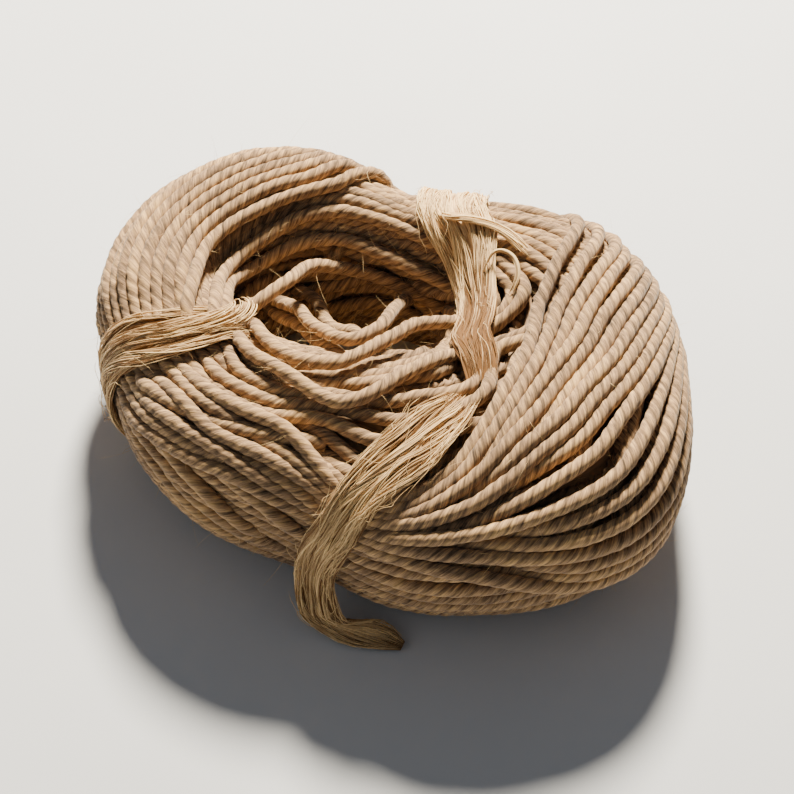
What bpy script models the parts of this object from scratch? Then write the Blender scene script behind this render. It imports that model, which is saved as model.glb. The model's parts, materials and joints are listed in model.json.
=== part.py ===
"""Ball of string: an oblong hank of three-ply jute string wound round an open eye.

It lies flat on its side with the eye facing up, and three flat locks of loose jute
fibre hold its turns together.  Metres, +Z up, +X along the hank's long axis, and the
origin under the middle of the hank on the surface it lies on.
"""

import math
from collections import namedtuple

import bmesh
import bpy
import numpy as np

MM = 0.001

# The hank: its eye, its sections round the eye and the way its turns are wound.
EYE_X = -14.7             # middle of the eye, mm
EYE_Y = 17.8
MIDDLE_HEIGHT = 43.5      # height of the fattest level of the hank, mm
UNDERSIDE_DEPTH = 45.0    # from that level down to where an unpressed underside would be
OUTER_ROUNDNESS = 2.35    # exponent of the section's outer and lower quarters
INNER_ROUNDNESS = 1.9     # exponent of the quarter that slopes into the eye

# Each section: its angle round the eye (0 = right, 90 = far side, 270 = near side),
# how far the eye, the crest and the outside lie from the eye's middle, and the height
# of the crest above the fattest level.  Degrees and mm.
Section = namedtuple("Section", "angle eye crest outside height")
SECTIONS = (
    Section(0, 32, 84, 132, 45),
    Section(30, 34, 68, 114, 44),
    Section(60, 29, 47, 79, 42),
    Section(90, 26, 42, 66, 41),
    Section(120, 28, 51, 90, 43),
    Section(150, 36, 66, 104, 43),
    Section(180, 44, 74, 108, 40),
    Section(210, 29, 62, 105, 40),
    Section(240, 14, 50, 103, 41),
    Section(270, 11, 44, 104, 42),
    Section(300, 14, 58, 129, 44),
    Section(330, 22, 84, 148, 46),
)

# The last turns were wound as a fan over the first ones: the two edges of the fan as
# angles round the section (0 = outside, 90 = top, 180 = into the eye), in degrees.
FanEdge = namedtuple("FanEdge", "angle low high")
FAN_EDGES = (
    FanEdge(0, -55, 112),
    FanEdge(30, -68, 82),
    FanEdge(60, -98, 54),
    FanEdge(90, -116, 52),
    FanEdge(120, -115, 90),
    FanEdge(150, -108, 110),
    FanEdge(180, -98, 106),
    FanEdge(210, -80, 87),
    FanEdge(240, -58, 76),
    FanEdge(270, -32, 65),
    FanEdge(292, -18, 60),
    FanEdge(312, -28, 80),
    FanEdge(335, -45, 104),
)
FAN_TWISTS = 9            # main twists that show in the fan
INNER_TWISTS = 6          # main twists that show between its edges, in the eye
POINTS_PER_TWIST = 4
RING_STEPS = 80
FAN_LIFT = 2.0            # how far the fan stands over the turns beneath it, mm
INNER_DROP = 2.0
FAN_TWIST_DEPTH = 1.5     # half the height of a main twist, mm
INNER_TWIST_DEPTH = 1.8

# The ties: flat locks of fibre, drawn tight into the hank.
TIE_THICKNESS = 2.4       # mm
TIE_GAP = 1.0             # between a tie and the hank
TIE_GROOVE = 3.4          # how far a tie draws the turns in
TIE_GROOVE_MARGIN = 8.0   # flat of the groove past the tie's edge
TIE_GROOVE_SLOPE = 11.0   # width of the groove's sloping side
TIE_FLOOR_GAP = 0.2       # under a tie, above the surface that the hank lies on
TIE_ACROSS = 5            # points across a tie
TIE_STEPS = 4             # stations between two rows of a tie
TIE_EDGE_THICKNESS = 0.55  # at a tie's edges, as a share of its thickness
NEAREST_ROUNDS = 8        # rounds of the search for the place nearest to a point

# A row for each place along a tie: the angle round the section, the angle round the
# eye, the width in mm.
TieRow = namedtuple("TieRow", "around angle width")
LEFT_TIE = (
    TieRow(-62, 208, 8),
    TieRow(-35, 206, 16),
    TieRow(0, 205, 22),
    TieRow(40, 208, 24),
    TieRow(68, 214, 21),
    TieRow(95, 217, 17),
    TieRow(135, 215, 13),
    TieRow(180, 210, 12),
    TieRow(225, 206, 14),
    TieRow(262, 205, 16),
)
UPPER_TIE = (
    TieRow(-75, 86, 13),
    TieRow(-35, 80, 18),
    TieRow(0, 74, 22),
    TieRow(40, 67, 26),
    TieRow(78, 59, 29),
    TieRow(111, 44, 27),
    TieRow(134, 26, 22),
    TieRow(138, 3, 19),
    TieRow(129, 342, 17),
    TieRow(112, 330, 15),
    TieRow(101, 324, 11),
)
LOWER_TIE = (
    TieRow(94, 318, 8),
    TieRow(84, 312, 14),
    TieRow(70, 301, 20),
    TieRow(43, 284, 19),
    TieRow(5, 276, 16),
    TieRow(-16, 273, 16),
)

# The loose end of the lower tie, from the hank's near side to its cut tip on the
# surface: both edges of the lock, x and y from the middle of the eye, mm.
TailRow = namedtuple("TailRow", "left_x left_y left_z right_x right_y right_z")
LOWER_TAIL = (
    TailRow(2, -109.0, 23, 17, -111.0, 21),
    TailRow(3, -111.0, 14, 20, -113.0, 14),
    TailRow(9, -112.5, 6, 25, -110.0, 11),
    TailRow(20, -115.5, 2, 30, -106.5, 8),
    TailRow(32, -116.5, 2, 38, -106.5, 5),
    TailRow(43, -114.5, 2, 44, -110.5, 3),
)
TAIL_STEPS = 5            # stations between two rows of the tail

JUTE_TAN = (0.56, 0.42, 0.27, 1.0)
JUTE_GOLD = (0.66, 0.50, 0.31, 1.0)


def clear_scene():
    """Remove every object that the scene starts with."""
    for item in list(bpy.data.objects):
        bpy.data.objects.remove(item, do_unlink=True)


def jute_material(name, colour, roughness):
    """A matt plant-fibre material."""
    material = bpy.data.materials.new(name)
    material.use_nodes = True
    shader = material.node_tree.nodes["Principled BSDF"]
    shader.inputs["Base Color"].default_value = colour
    shader.inputs["Roughness"].default_value = roughness
    shader.inputs["Metallic"].default_value = 0.0
    return material


def hermite(share, before, start, end, after, spans):
    """Cubic through start and end that follows the neighbours' slopes."""
    span_before, span, span_after = spans
    slope_start = (end - before) / (span_before + span) * span
    slope_end = (after - start) / (span + span_after) * span
    square = share * share
    cube = square * share
    return (
        (2 * cube - 3 * square + 1) * start
        + (cube - 2 * square + share) * slope_start
        + (3 * square - 2 * cube) * end
        + (cube - square) * slope_end
    )


def round_table(rows, column, angle):
    """A column of a table that closes on itself, read at any angle round the eye."""
    angles = np.array([row.angle for row in rows], dtype=float)
    values = np.array([getattr(row, column) for row in rows], dtype=float)
    angles = np.concatenate([angles[-2:] - 360.0, angles, angles[:3] + 360.0])
    values = np.concatenate([values[-2:], values, values[:3]])
    angle = np.mod(np.asarray(angle, dtype=float), 360.0)
    at = np.searchsorted(angles, angle, side="right") - 1
    spans = (angles[at] - angles[at - 1], angles[at + 1] - angles[at],
             angles[at + 2] - angles[at + 1])
    share = (angle - angles[at]) / spans[1]
    return hermite(share, values[at - 1], values[at], values[at + 1], values[at + 2], spans)


def open_table(rows, column, steps):
    """A column of a table with two ends, read at even steps between its rows."""
    values = [float(getattr(row, column)) for row in rows]
    values = [2 * values[0] - values[1]] + values + [2 * values[-1] - values[-2]]
    found = []
    for row in range(len(rows) - 1):
        for step in range(steps):
            found.append(hermite(step / steps, *values[row:row + 4], (1.0, 1.0, 1.0)))
    found.append(values[-2])
    return np.array(found)


def hank_point(angle, around, lift=0.0):
    """Point of the hank's smooth form, lifted outwards in its section, in mm."""
    eye = round_table(SECTIONS, "eye", angle)
    crest = round_table(SECTIONS, "crest", angle)
    outside = round_table(SECTIONS, "outside", angle)
    height = round_table(SECTIONS, "height", angle)
    turn = np.radians(around)
    across = np.cos(turn)
    up = np.sin(turn)
    above = up > 0
    middle = np.where(above, crest, 0.5 * (eye + outside))
    half_width = np.where(across > 0, outside - middle, middle - eye)
    half_height = np.where(above, height, UNDERSIDE_DEPTH)
    power = np.where(above & (across < 0), INNER_ROUNDNESS, OUTER_ROUNDNESS)
    reach = (np.abs(across) ** power + np.abs(up) ** power) ** (-1.0 / power)
    radius = middle + (half_width * reach + lift) * across
    level = MIDDLE_HEIGHT + (half_height * reach + lift) * up
    heading = np.radians(angle)
    return np.stack(
        [EYE_X + radius * np.cos(heading), EYE_Y + radius * np.sin(heading), level], axis=-1)


def tie_line(rows):
    """Angles round the eye and the section, and the width, at each station of a tie."""
    angles = [row.angle for row in rows]
    unwrapped = np.degrees(np.unwrap(np.radians(angles)))
    rows = [row._replace(angle=turn) for row, turn in zip(rows, unwrapped)]
    return [open_table(rows, column, TIE_STEPS) for column in ("angle", "around", "width")]


def groove_share(points):
    """How deep in a tie's groove a place of the hank lies, from 0 to 1."""
    share = np.zeros(points.shape[:-1])
    for rows in (LEFT_TIE, UPPER_TIE, LOWER_TIE):
        angle, around, width = tie_line(rows)
        line = hank_point(angle, around)
        for centre, reach in zip(line, 0.5 * width + TIE_GROOVE_MARGIN):
            side = np.linalg.norm(points - centre, axis=-1)
            part = np.clip(1.0 - (side - reach) / TIE_GROOVE_SLOPE, 0.0, 1.0)
            share = np.maximum(share, part * part * (3.0 - 2.0 * part))
    return share


def twist_grid():
    """Angles round the eye and the section of every point of the hank's surface."""
    angle = np.arange(RING_STEPS) * 360.0 / RING_STEPS
    low = round_table(FAN_EDGES, "low", angle)
    high = round_table(FAN_EDGES, "high", angle)
    fan_points = FAN_TWISTS * POINTS_PER_TWIST
    inner_points = INNER_TWISTS * POINTS_PER_TWIST
    columns = []
    for point in range(fan_points):
        columns.append(low + (high - low) * point / fan_points)
    for point in range(inner_points):
        columns.append(high + (low + 360.0 - high) * point / inner_points)
    around = np.stack(columns, axis=1)
    return np.repeat(angle[:, None], around.shape[1], axis=1), around


def twist_lift():
    """Lift of each point across the section: the fan, the inner turns, their twists."""
    lifts = []
    for count, level, depth in ((FAN_TWISTS, FAN_LIFT, FAN_TWIST_DEPTH),
                                (INNER_TWISTS, -INNER_DROP, INNER_TWIST_DEPTH)):
        for point in range(count * POINTS_PER_TWIST):
            swing = -math.cos(2.0 * math.pi * point / POINTS_PER_TWIST)
            lifts.append(level + depth * swing)
    return np.array(lifts)


def hank_surface():
    """Points of the hank's surface, a closed grid round the eye and the section."""
    angle, around = twist_grid()
    lift = np.repeat(twist_lift()[None, :], RING_STEPS, axis=0)
    groove = groove_share(hank_point(angle, around))
    lift = lift * (1.0 - groove) - TIE_GROOVE * groove
    points = hank_point(angle, around, lift)
    lowest = groove * (TIE_THICKNESS + TIE_GAP + TIE_FLOOR_GAP)
    points[..., 2] = np.maximum(points[..., 2], lowest)
    return points


def mesh_object(name, points, faces, material):
    """Object with the given points in mm and faces, its faces turned outwards."""
    mesh = bpy.data.meshes.new(name)
    mesh.from_pydata([tuple(point * MM) for point in points], [], faces)
    shape = bmesh.new()
    shape.from_mesh(mesh)
    bmesh.ops.recalc_face_normals(shape, faces=shape.faces)
    shape.to_mesh(mesh)
    shape.free()
    mesh.shade_smooth()
    mesh.materials.append(material)
    item = bpy.data.objects.new(name, mesh)
    bpy.context.collection.objects.link(item)
    return item


def make_hank(material):
    """The wound hank with its main twists, one closed body round its open eye."""
    points = hank_surface()
    rings, columns = points.shape[:2]
    faces = []
    for ring in range(rings):
        for column in range(columns):
            here = ring * columns + column
            beside = ring * columns + (column + 1) % columns
            next_ring = (ring + 1) % rings * columns
            faces.append((here, beside, next_ring + (column + 1) % columns, next_ring + column))
    return mesh_object("rope_ball", points.reshape(-1, 3), faces, material)


def surface_slopes(angle, around):
    """How the hank's form moves for each degree round the eye and round the section."""
    turn = hank_point(angle + 0.5, around) - hank_point(angle - 0.5, around)
    lap = hank_point(angle, around + 0.5) - hank_point(angle, around - 0.5)
    return turn, lap


def nearest_angles(targets, angle, around):
    """Angles of the places of the hank's form that lie nearest to some points."""
    for _ in range(NEAREST_ROUNDS):
        turn, lap = surface_slopes(angle, around)
        miss = targets - hank_point(angle, around)
        turn_turn = np.sum(turn * turn, axis=-1)
        turn_lap = np.sum(turn * lap, axis=-1)
        lap_lap = np.sum(lap * lap, axis=-1)
        turn_miss = np.sum(turn * miss, axis=-1)
        lap_miss = np.sum(lap * miss, axis=-1)
        scale = turn_turn * lap_lap - turn_lap * turn_lap
        angle = angle + (lap_lap * turn_miss - turn_lap * lap_miss) / scale
        around = around + (turn_turn * lap_miss - turn_lap * turn_miss) / scale
    return angle, around


def across_tie(angle, around, half_width):
    """Angles of the points across each station of a tie, square to its run."""
    line = hank_point(angle, around)
    side = np.cross(np.cross(*surface_slopes(angle, around)), np.gradient(line, axis=0))
    side *= half_width[:, None] / np.linalg.norm(side, axis=-1, keepdims=True)
    share = np.linspace(-1.0, 1.0, TIE_ACROSS)
    targets = line[:, None, :] + side[:, None, :] * share[None, :, None]
    return nearest_angles(targets, np.repeat(angle[:, None], TIE_ACROSS, axis=1),
                          np.repeat(around[:, None], TIE_ACROSS, axis=1))


def tie_middle(rows):
    """Middle surface of a tie along the hank: a row of points across each station."""
    angle, around, width = tie_line(rows)
    angles, arounds = across_tie(angle, around, 0.5 * width)
    bed = hank_point(angles, arounds, -TIE_GROOVE)
    outward = hank_point(angles, arounds) - bed
    normals = sheet_normals(bed)
    side = np.sign(np.sum(normals * outward, axis=-1, keepdims=True))
    middle = bed + normals * side * (TIE_GAP + 0.5 * TIE_THICKNESS)
    middle[..., 2] = np.maximum(middle[..., 2], 0.5 * TIE_THICKNESS + TIE_FLOOR_GAP)
    return middle


def tail_middle(rows):
    """Middle surface of a loose end between its two edges."""
    edges = {column: open_table(rows, column, TAIL_STEPS) for column in rows[0]._fields}
    left = np.stack([edges["left_x"], edges["left_y"], edges["left_z"]], axis=-1)
    right = np.stack([edges["right_x"], edges["right_y"], edges["right_z"]], axis=-1)
    share = np.linspace(0.0, 1.0, TIE_ACROSS)[None, :, None]
    middle = left[:, None, :] * (1.0 - share) + right[:, None, :] * share
    return middle + np.array([EYE_X, EYE_Y, 0.0])


def sheet_normals(middle):
    """Unit normals of a grid of points."""
    along = np.gradient(middle, axis=0)
    across = np.gradient(middle, axis=1)
    normals = np.cross(along, across)
    return normals / np.linalg.norm(normals, axis=-1, keepdims=True)


def make_tie(name, middle, material):
    """Flat lock of fibre of even thickness, thinner at its edges, one closed body."""
    normals = sheet_normals(middle)
    stations, across = middle.shape[:2]
    place = np.linspace(-1.0, 1.0, across)
    half = 0.5 * TIE_THICKNESS * (1.0 - (1.0 - TIE_EDGE_THICKNESS) * place ** 2)
    outer = middle + normals * half[None, :, None]
    inner = middle - normals * half[None, :, None]
    loops = np.concatenate([outer, inner[:, ::-1]], axis=1)
    size = 2 * across
    faces = []
    for station in range(stations - 1):
        for point in range(size):
            here = station * size
            faces.append((here + point, here + (point + 1) % size,
                          here + size + (point + 1) % size, here + size + point))
    for station in (0, stations - 1):
        here = station * size
        for point in range(across - 1):
            faces.append((here + point, here + point + 1,
                          here + size - 2 - point, here + size - 1 - point))
    return mesh_object(name, loops.reshape(-1, 3), faces, material)


def main():
    """Build the hank and its three ties."""
    clear_scene()
    make_hank(jute_material("jute_string", JUTE_TAN, 0.85))
    lock = jute_material("jute_fibre", JUTE_GOLD, 0.8)
    make_tie("tie_left", tie_middle(LEFT_TIE), lock)
    make_tie("tie_upper", tie_middle(UPPER_TIE), lock)
    run_and_tail = np.concatenate([tie_middle(LOWER_TIE), tail_middle(LOWER_TAIL)])
    make_tie("tie_lower", run_and_tail, lock)


main()
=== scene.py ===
"""Looks of the ball of string.

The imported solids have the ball's wound form.  This script winds the string itself over
the same form, turn by turn, and adds the flat ties of loose fibre and the stray hairs.
The winding is worked out in millimetres, in half planes round the open eye, and the
pieces are made in metres, +Z up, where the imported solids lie.
"""

from __future__ import annotations

import json
import logging
import math
from dataclasses import dataclass
from enum import Enum

import bpy
import numpy as np
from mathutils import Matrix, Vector

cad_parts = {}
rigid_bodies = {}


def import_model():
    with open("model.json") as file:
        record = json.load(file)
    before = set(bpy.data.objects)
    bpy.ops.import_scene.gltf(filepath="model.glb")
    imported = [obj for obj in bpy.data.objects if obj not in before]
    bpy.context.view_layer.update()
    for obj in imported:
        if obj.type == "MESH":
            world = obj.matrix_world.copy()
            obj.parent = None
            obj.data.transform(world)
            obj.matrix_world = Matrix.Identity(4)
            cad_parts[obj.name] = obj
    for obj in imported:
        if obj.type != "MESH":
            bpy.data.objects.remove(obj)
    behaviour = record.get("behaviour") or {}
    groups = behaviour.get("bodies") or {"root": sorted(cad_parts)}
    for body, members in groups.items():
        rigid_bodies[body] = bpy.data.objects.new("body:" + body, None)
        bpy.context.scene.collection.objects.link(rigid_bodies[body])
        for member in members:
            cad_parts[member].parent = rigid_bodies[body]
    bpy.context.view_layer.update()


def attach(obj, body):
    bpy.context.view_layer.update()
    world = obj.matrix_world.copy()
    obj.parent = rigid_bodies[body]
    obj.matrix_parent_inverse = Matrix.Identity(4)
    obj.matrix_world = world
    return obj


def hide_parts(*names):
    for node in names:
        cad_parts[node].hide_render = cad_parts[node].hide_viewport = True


LOG = logging.getLogger("ball_of_string")
MM = 0.001
FULL_TURN = 2.0 * math.pi
BODY = "root"

Array = np.ndarray
Item = bpy.types.Object
Finish = bpy.types.Material


# ---------------------------------------------------------------- driving dimensions

@dataclass(frozen=True)
class Form:
    """Sizes of the wound form, in mm, and how square its section is."""

    eye_x: float = -14.7
    eye_y: float = 17.8
    middle_height: float = 43.5
    underside_depth: float = 45.0
    outer_roundness: float = 2.35
    inner_roundness: float = 1.9


@dataclass(frozen=True)
class Section:
    """One section of the ball: its angle round the eye, and its sizes in mm."""

    angle: float
    eye: float
    crest: float
    outside: float
    height: float


@dataclass(frozen=True)
class FanRow:
    """Course of the fan of last turns at an angle round the eye.

    From its low edge to its high one, as angles round the section in degrees.
    """

    angle: float
    low: float
    lower: float
    middle: float
    upper: float
    high: float


@dataclass(frozen=True)
class OuterRow:
    """How far the outer turns are swept round the section, at an angle round the eye.

    Each column is where the turns lie that would lie at that many degrees on the far side.
    """

    angle: float
    at_0: float
    at_30: float
    at_60: float
    at_90: float
    at_120: float
    at_150: float


@dataclass(frozen=True)
class TieRow:
    """A place along a tie: angles round the section and the eye, width and depth, mm."""

    around: float
    angle: float
    width: float
    sink: float = 0.0             # how much deeper it lies, between the turns


@dataclass(frozen=True)
class TailRow:
    """Both edges of the loose end of a tie, x and y from the eye's middle, in mm."""

    left_x: float
    left_y: float
    left_z: float
    right_x: float
    right_y: float
    right_z: float


@dataclass(frozen=True)
class LooseRow:
    """A place along a loose turn: angle round the eye, radius from it and level, mm."""

    angle: float
    radius: float
    level: float


@dataclass(frozen=True)
class FibreRow:
    """A place along a turn or a lock: angles round the section and the eye, lift in mm."""

    around: float
    angle: float
    lift: float


@dataclass(frozen=True)
class Dip:
    """Where the turns lie deeper: its middle round the eye and the section, its reach."""

    angle: float
    around: float
    angle_reach: float
    around_reach: float
    depth: float


@dataclass(frozen=True)
class StringSize:
    """The laid string, in mm."""

    thickness: float = 5.8
    closest: float = 5.8          # between the middles of two turns pressed together
    plies: int = 3
    lay: float = -16.0            # length in which a ply goes once round, left-handed
    ply_valley: float = 0.10      # depth of the valleys between plies, share of the radius
    thinnest: float = 0.89        # share of the radius where the string is thin
    swelling: float = 0.22        # and how much more of it where it swells
    swell_rate: float = 70.0      # swellings for each metre
    swell_detail: float = 2.0
    fine_step: float = 1.6
    fine_points: int = 12         # round a turn that shows
    coarse_step: float = 4.0
    coarse_points: int = 8


@dataclass(frozen=True)
class TieSize:
    """The ties, in mm."""

    gap: float = 1.0
    thickness: float = 2.4
    groove: float = 3.4
    margin: float = 5.0
    slope: float = 12.0
    sunk: float = 4.0             # a part that lies this deep presses no groove
    stations: int = 4


@dataclass(frozen=True)
class Winding:
    """One layer of turns: how many, how deep, and how far they wander, in mm."""

    turns: int
    seed: int
    lift: float
    sideways: float
    up_down: float
    stacked: int                  # turns over each other where they are crowded
    stack_depth: float
    crowded: float                # share of room too little that stacks them fully
    cap: float                    # highest lift
    cap_under_fan: float          # what the fan adds to it
    pressed: float                # highest lift in the groove of a tie
    pressed_under_fan: float
    dips: bool                    # whether the dips draw the layer in


@dataclass(frozen=True)
class LockLook:
    """The fibres of one tie: counts, and sizes in mm."""

    bundles: int                  # that lie side by side
    fibres: int                   # in each bundle
    strays: int                   # that leave the tie and curl
    bundle: float                 # radius of a bundle
    cross: float                  # how far bundles wander, share of the tie's width
    twist: float                  # length in which a bundle turns once
    rust_start: float             # share of the tie's length where its fibres turn brown
    rust_end: float
    tone: float                   # how much lighter its fibres are: their own paler fibre, and in the upper tie also painted light against the shadow of its branch
    seed: int


@dataclass(frozen=True)
class FibreLay:
    """How fibres lie in every tie.

    Places along it are shares of its length, places across it shares of its half width,
    and heights are mm over its middle.  A pair is the range of a random draw.
    """

    outermost: float = 0.86       # where the outermost bundles lie
    bundle_edge: float = 0.9      # how far out a bundle wanders
    fibre_edge: float = 1.12      # how far out a fibre lies
    knots: int = 5                # places along the tie where a bundle changes its way
    lowest: float = 0.5           # height of the lowest bundle
    levels: float = 1.1           # and how much higher the highest lies
    floor: float = 0.1            # least height of a fibre
    top: float = 2.6              # greatest height of a fibre
    whole: float = 0.75           # share of the fibres that reach an end of the tie
    near_start: tuple = (0.0, 0.10)
    far_start: tuple = (0.1, 0.5)
    near_end: tuple = (0.93, 1.0)
    far_end: tuple = (0.5, 0.93)
    out: tuple = (0.15, 1.0)      # place of a fibre in its bundle
    crowding: float = 0.6         # below 1, fibres crowd to the outside of their bundle
    wide: float = 1.25            # a bundle's half width, share of its radius
    high: float = 0.55            # a bundle's half height, share of its radius
    sway: float = 0.60            # how far a fibre sways aside, mm
    sway_every: int = 4           # points between two changes of its way
    heave: float = 0.16           # how far a fibre sways up and down, mm
    heave_every: int = 5
    thickness: tuple = (0.55, 1.35)
    point: float = 12.0           # how short the pointed ends of a fibre are
    thinnest: float = 0.12        # thickness of a pointed end
    tint: float = 0.10            # spread of the fibres' tones
    brown: tuple = (0.45, 1.3)    # how much of the brown a fibre takes


@dataclass(frozen=True)
class StrayLay:
    """How fibres leave a tie, in the measures of FibreLay."""

    start: tuple = (0.08, 0.9)
    length: tuple = (8.0, 30.0)   # mm
    across: tuple = (0.2, 1.0)
    aside: tuple = (0.1, 0.7)
    bend: float = 1.5
    wriggle: float = 0.12
    wriggle_every: int = 7
    creep: float = 1.2            # mm
    creep_every: int = 6
    base: float = 1.0
    rise: tuple = (1.0, 3.6)
    arch: tuple = (1.6, 3.0)      # angle that its arch goes through, radians
    floor: float = 0.4
    thickness: float = 0.42
    point: float = 6.0
    thinnest: float = 0.25
    tint: float = 0.05
    tint_spread: float = 0.06


@dataclass(frozen=True)
class LockLay:
    """How fibres lie in a lock that leaves a tie, in the measures of FibreLay."""

    out: tuple = (0.02, 1.0)
    turning: tuple = (1.0, 3.0)   # radians from its root to its tip
    flat: float = 0.6             # its height, share of its width
    opening: float = 0.6          # how much wider it is at its tip
    unrest: float = 0.15
    unrest_every: int = 8
    latest_start: int = 3         # a fibre starts in the first third of the lock
    soonest_end: int = 4          # and ends in its last quarter
    thickness: tuple = (0.5, 1.2)
    thinnest: float = 0.2
    point: float = 10.0
    tint: float = 0.05
    tint_spread: float = 0.09


@dataclass(frozen=True)
class BandSize:
    """The ribbed base of a tie, in mm, and in shares of its half width across it."""

    ribs: int = 9
    columns: int = 55
    step: float = 1.5             # along the tie between two rows
    edge: float = 0.93            # where it ends
    fray: float = 0.05            # how uneven that edge is
    fray_every: int = 6           # rows between two changes of the edge's way
    sway: float = 0.5             # how far the ribs sway, in half ribs
    sway_every: int = 10
    wave: float = 0.6             # how far they wave, radians of a rib
    wave_length: float = 9.0      # along the tie for each radian of a wave
    edge_power: int = 6           # how suddenly the band thins at its edges
    edge_least: float = 0.02
    valley: float = 0.15          # height between the ribs
    rib: float = 0.55             # and how much higher a rib is
    under: float = 0.75           # depth of the underside
    pattern: float = 6.0          # radius at which the fibre pattern is read
    seed: int = 50                # added to the tie's own seed


@dataclass(frozen=True)
class HairSize:
    """The hairs that stand off the string, in mm."""

    count: int = 3700
    radius: float = 0.065
    shortest: float = 2.5
    longest: float = 10.0
    shortness: float = 2.2        # above 1, most hairs are short
    root: float = 0.42            # distance from the string's middle, share of thickness
    aside: tuple = (0.35, 1.0)    # how far a hair points away from the string
    along: float = 0.9            # how far it points along the string
    bend: float = 0.55
    thickness: tuple = (0.7, 1.3)
    taper: float = 0.7
    tint: float = 0.12
    tint_spread: float = 0.1
    points: int = 5
    seed: int = 41


@dataclass(frozen=True)
class UnderSize:
    """The string surface in painted shade that shows between the turns, in mm."""

    lift: float = -11.0
    below: float = 2.0            # under the deepest turns
    ridges: int = 40
    ridge: float = 1.6
    lowest: float = 2.0           # level of its lowest points
    every: int = 2                # half planes between two of its columns
    across: float = 12.0          # radius at which the fibre pattern is read
    along: float = 60.0           # mm of string for each radian round the eye


FORM = Form()
HAIR = HairSize()
STRING = StringSize()
TIE = TieSize()
LAY = FibreLay()
STRAY = StrayLay()
LOCK = LockLay()
BAND = BandSize()
UNDER = UnderSize()


def rows(kind: type, *table: tuple) -> tuple:
    """Rows of a table.

    Args:
        kind: dataclass of a row.
        table: the values of each row.

    Returns:
        The rows.
    """
    return tuple(kind(*values) for values in table)


SECTIONS = rows(
    Section,
    (0, 32, 84, 132, 45),
    (30, 34, 68, 114, 44),
    (60, 29, 47, 79, 42),
    (90, 26, 42, 66, 41),
    (120, 28, 51, 90, 43),
    (150, 36, 66, 104, 43),
    (180, 44, 74, 108, 40),
    (210, 29, 62, 105, 40),
    (240, 14, 50, 103, 41),
    (270, 11, 44, 104, 42),
    (300, 14, 58, 129, 44),
    (330, 22, 84, 148, 46),
)
FAN_ROWS = rows(
    FanRow,
    (0, -12, 18, 47, 78, 112),
    (12, -25, 0, 28, 60, 104),
    (22, -42, -15, 10, 38, 88),
    (32, -55, -32, -8, 18, 66),
    (45, -72, -48, -25, 0, 36),
    (60, -85, -58, -35, -6, 26),
    (75, -85, -56, -28, 4, 34),
    (95, -70, -40, -8, 22, 54),
    (120, -35, 0, 32, 64, 96),
    (150, -12, 22, 54, 84, 112),
    (180, -5, 25, 54, 82, 109),
    (207, 8, 28, 47, 66, 86),
    (235, 22, 33, 44, 55, 67),
    (260, 24, 34, 43, 53, 62),
    (280, 25, 34, 43, 52, 60),
    (291, 22, 31, 42, 52, 61),
    (304, 13, 27, 46, 60, 70),
    (312, 2, 24, 53, 68, 79),
    (320, -10, 21, 60, 77, 87),
    (329, -19, 19, 64, 84, 97),
    (338, -22, 20, 66, 87, 103),
    (348, -18, 22, 60, 85, 109),
)
FAN_COLUMNS = ("low", "lower", "middle", "upper", "high")
OUTER_ROWS = rows(
    OuterRow,
    (8, 0, 26, 50, 70, 88, 122),
    (22, 0, 28, 54, 76, 98, 132),
    (40, 0, 30, 60, 88, 115, 146),
    (60, 0, 30, 60, 90, 120, 150),
    (100, 0, 30, 58, 86, 112, 146),
    (150, 0, 30, 60, 92, 124, 152),
    (180, 0, 30, 58, 88, 120, 150),
    (207, 3, 27, 45, 66, 88, 114),
    (222, -4, 24, 43, 60, 80, 104),
    (235, -15, 18, 40, 56, 72, 97),
    (248, -31, 5, 34, 53, 72, 97),
    (260, -43, -7, 28, 50, 72, 98),
    (290, -50, -20, 19, 50, 80, 112),
    (320, -45, -13, 25, 60, 92, 125),
    (340, -20, 12, 45, 78, 110, 143),
    (352, -6, 21, 48, 74, 98, 132),
)
OUTER_KNOTS = (0, 30, 60, 90, 120, 150)
OUTER_COLUMNS = tuple(f"at_{knot}" for knot in OUTER_KNOTS)
LOOSE_TURNS = {
    "a": rows(LooseRow, (212, 50, 62), (208, 50.1, 74), (204, 38.9, 78), (185, 27.8, 77),
              (152, 26.5, 70), (128, 25.5, 63), (105, 26, 57), (80, 27, 53), (60, 31, 48),
              (42, 38, 42)),
    "b": rows(LooseRow, (158, 51.4, 40), (170, 37.3, 52), (191, 24.2, 62), (240, 22.2, 70),
              (262, 24.9, 74), (280, 26, 76), (300, 21.5, 75), (338, 14.2, 69), (384, 13.5, 60),
              (410, 20.3, 53), (420, 28.3, 46), (425, 38.5, 38), (427, 50, 33)),
    "c": rows(LooseRow, (201, 48.1, 62), (220, 45.6, 78), (240, 48.3, 84), (253, 49.6, 86),
              (263, 48.4, 86), (274, 46.1, 86), (285, 39.5, 84), (301, 31.8, 80),
              (331, 27.5, 75), (351, 33, 70), (370, 44, 60)),
    "d": rows(LooseRow, (206, 53.3, 66), (224, 54.6, 80), (239, 57, 85), (249, 57.4, 87),
              (258, 59, 88), (268, 62.7, 87.5), (276, 65.9, 87.5), (282, 65.3, 88),
              (291, 60.6, 88), (302, 53.9, 86), (320, 50.1, 81), (340, 51.6, 72)),
    "e": rows(LooseRow, (138, 60, 32), (146, 42.7, 42), (158, 20, 50), (248, 6.2, 56),
              (300, 17, 60), (315, 33, 54)),
    "f": rows(LooseRow, (156, 51.8, 35), (174, 37.1, 47), (201, 23.8, 57), (250, 24.1, 65),
              (273, 31, 69), (294, 39.1, 65)),
}
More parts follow.
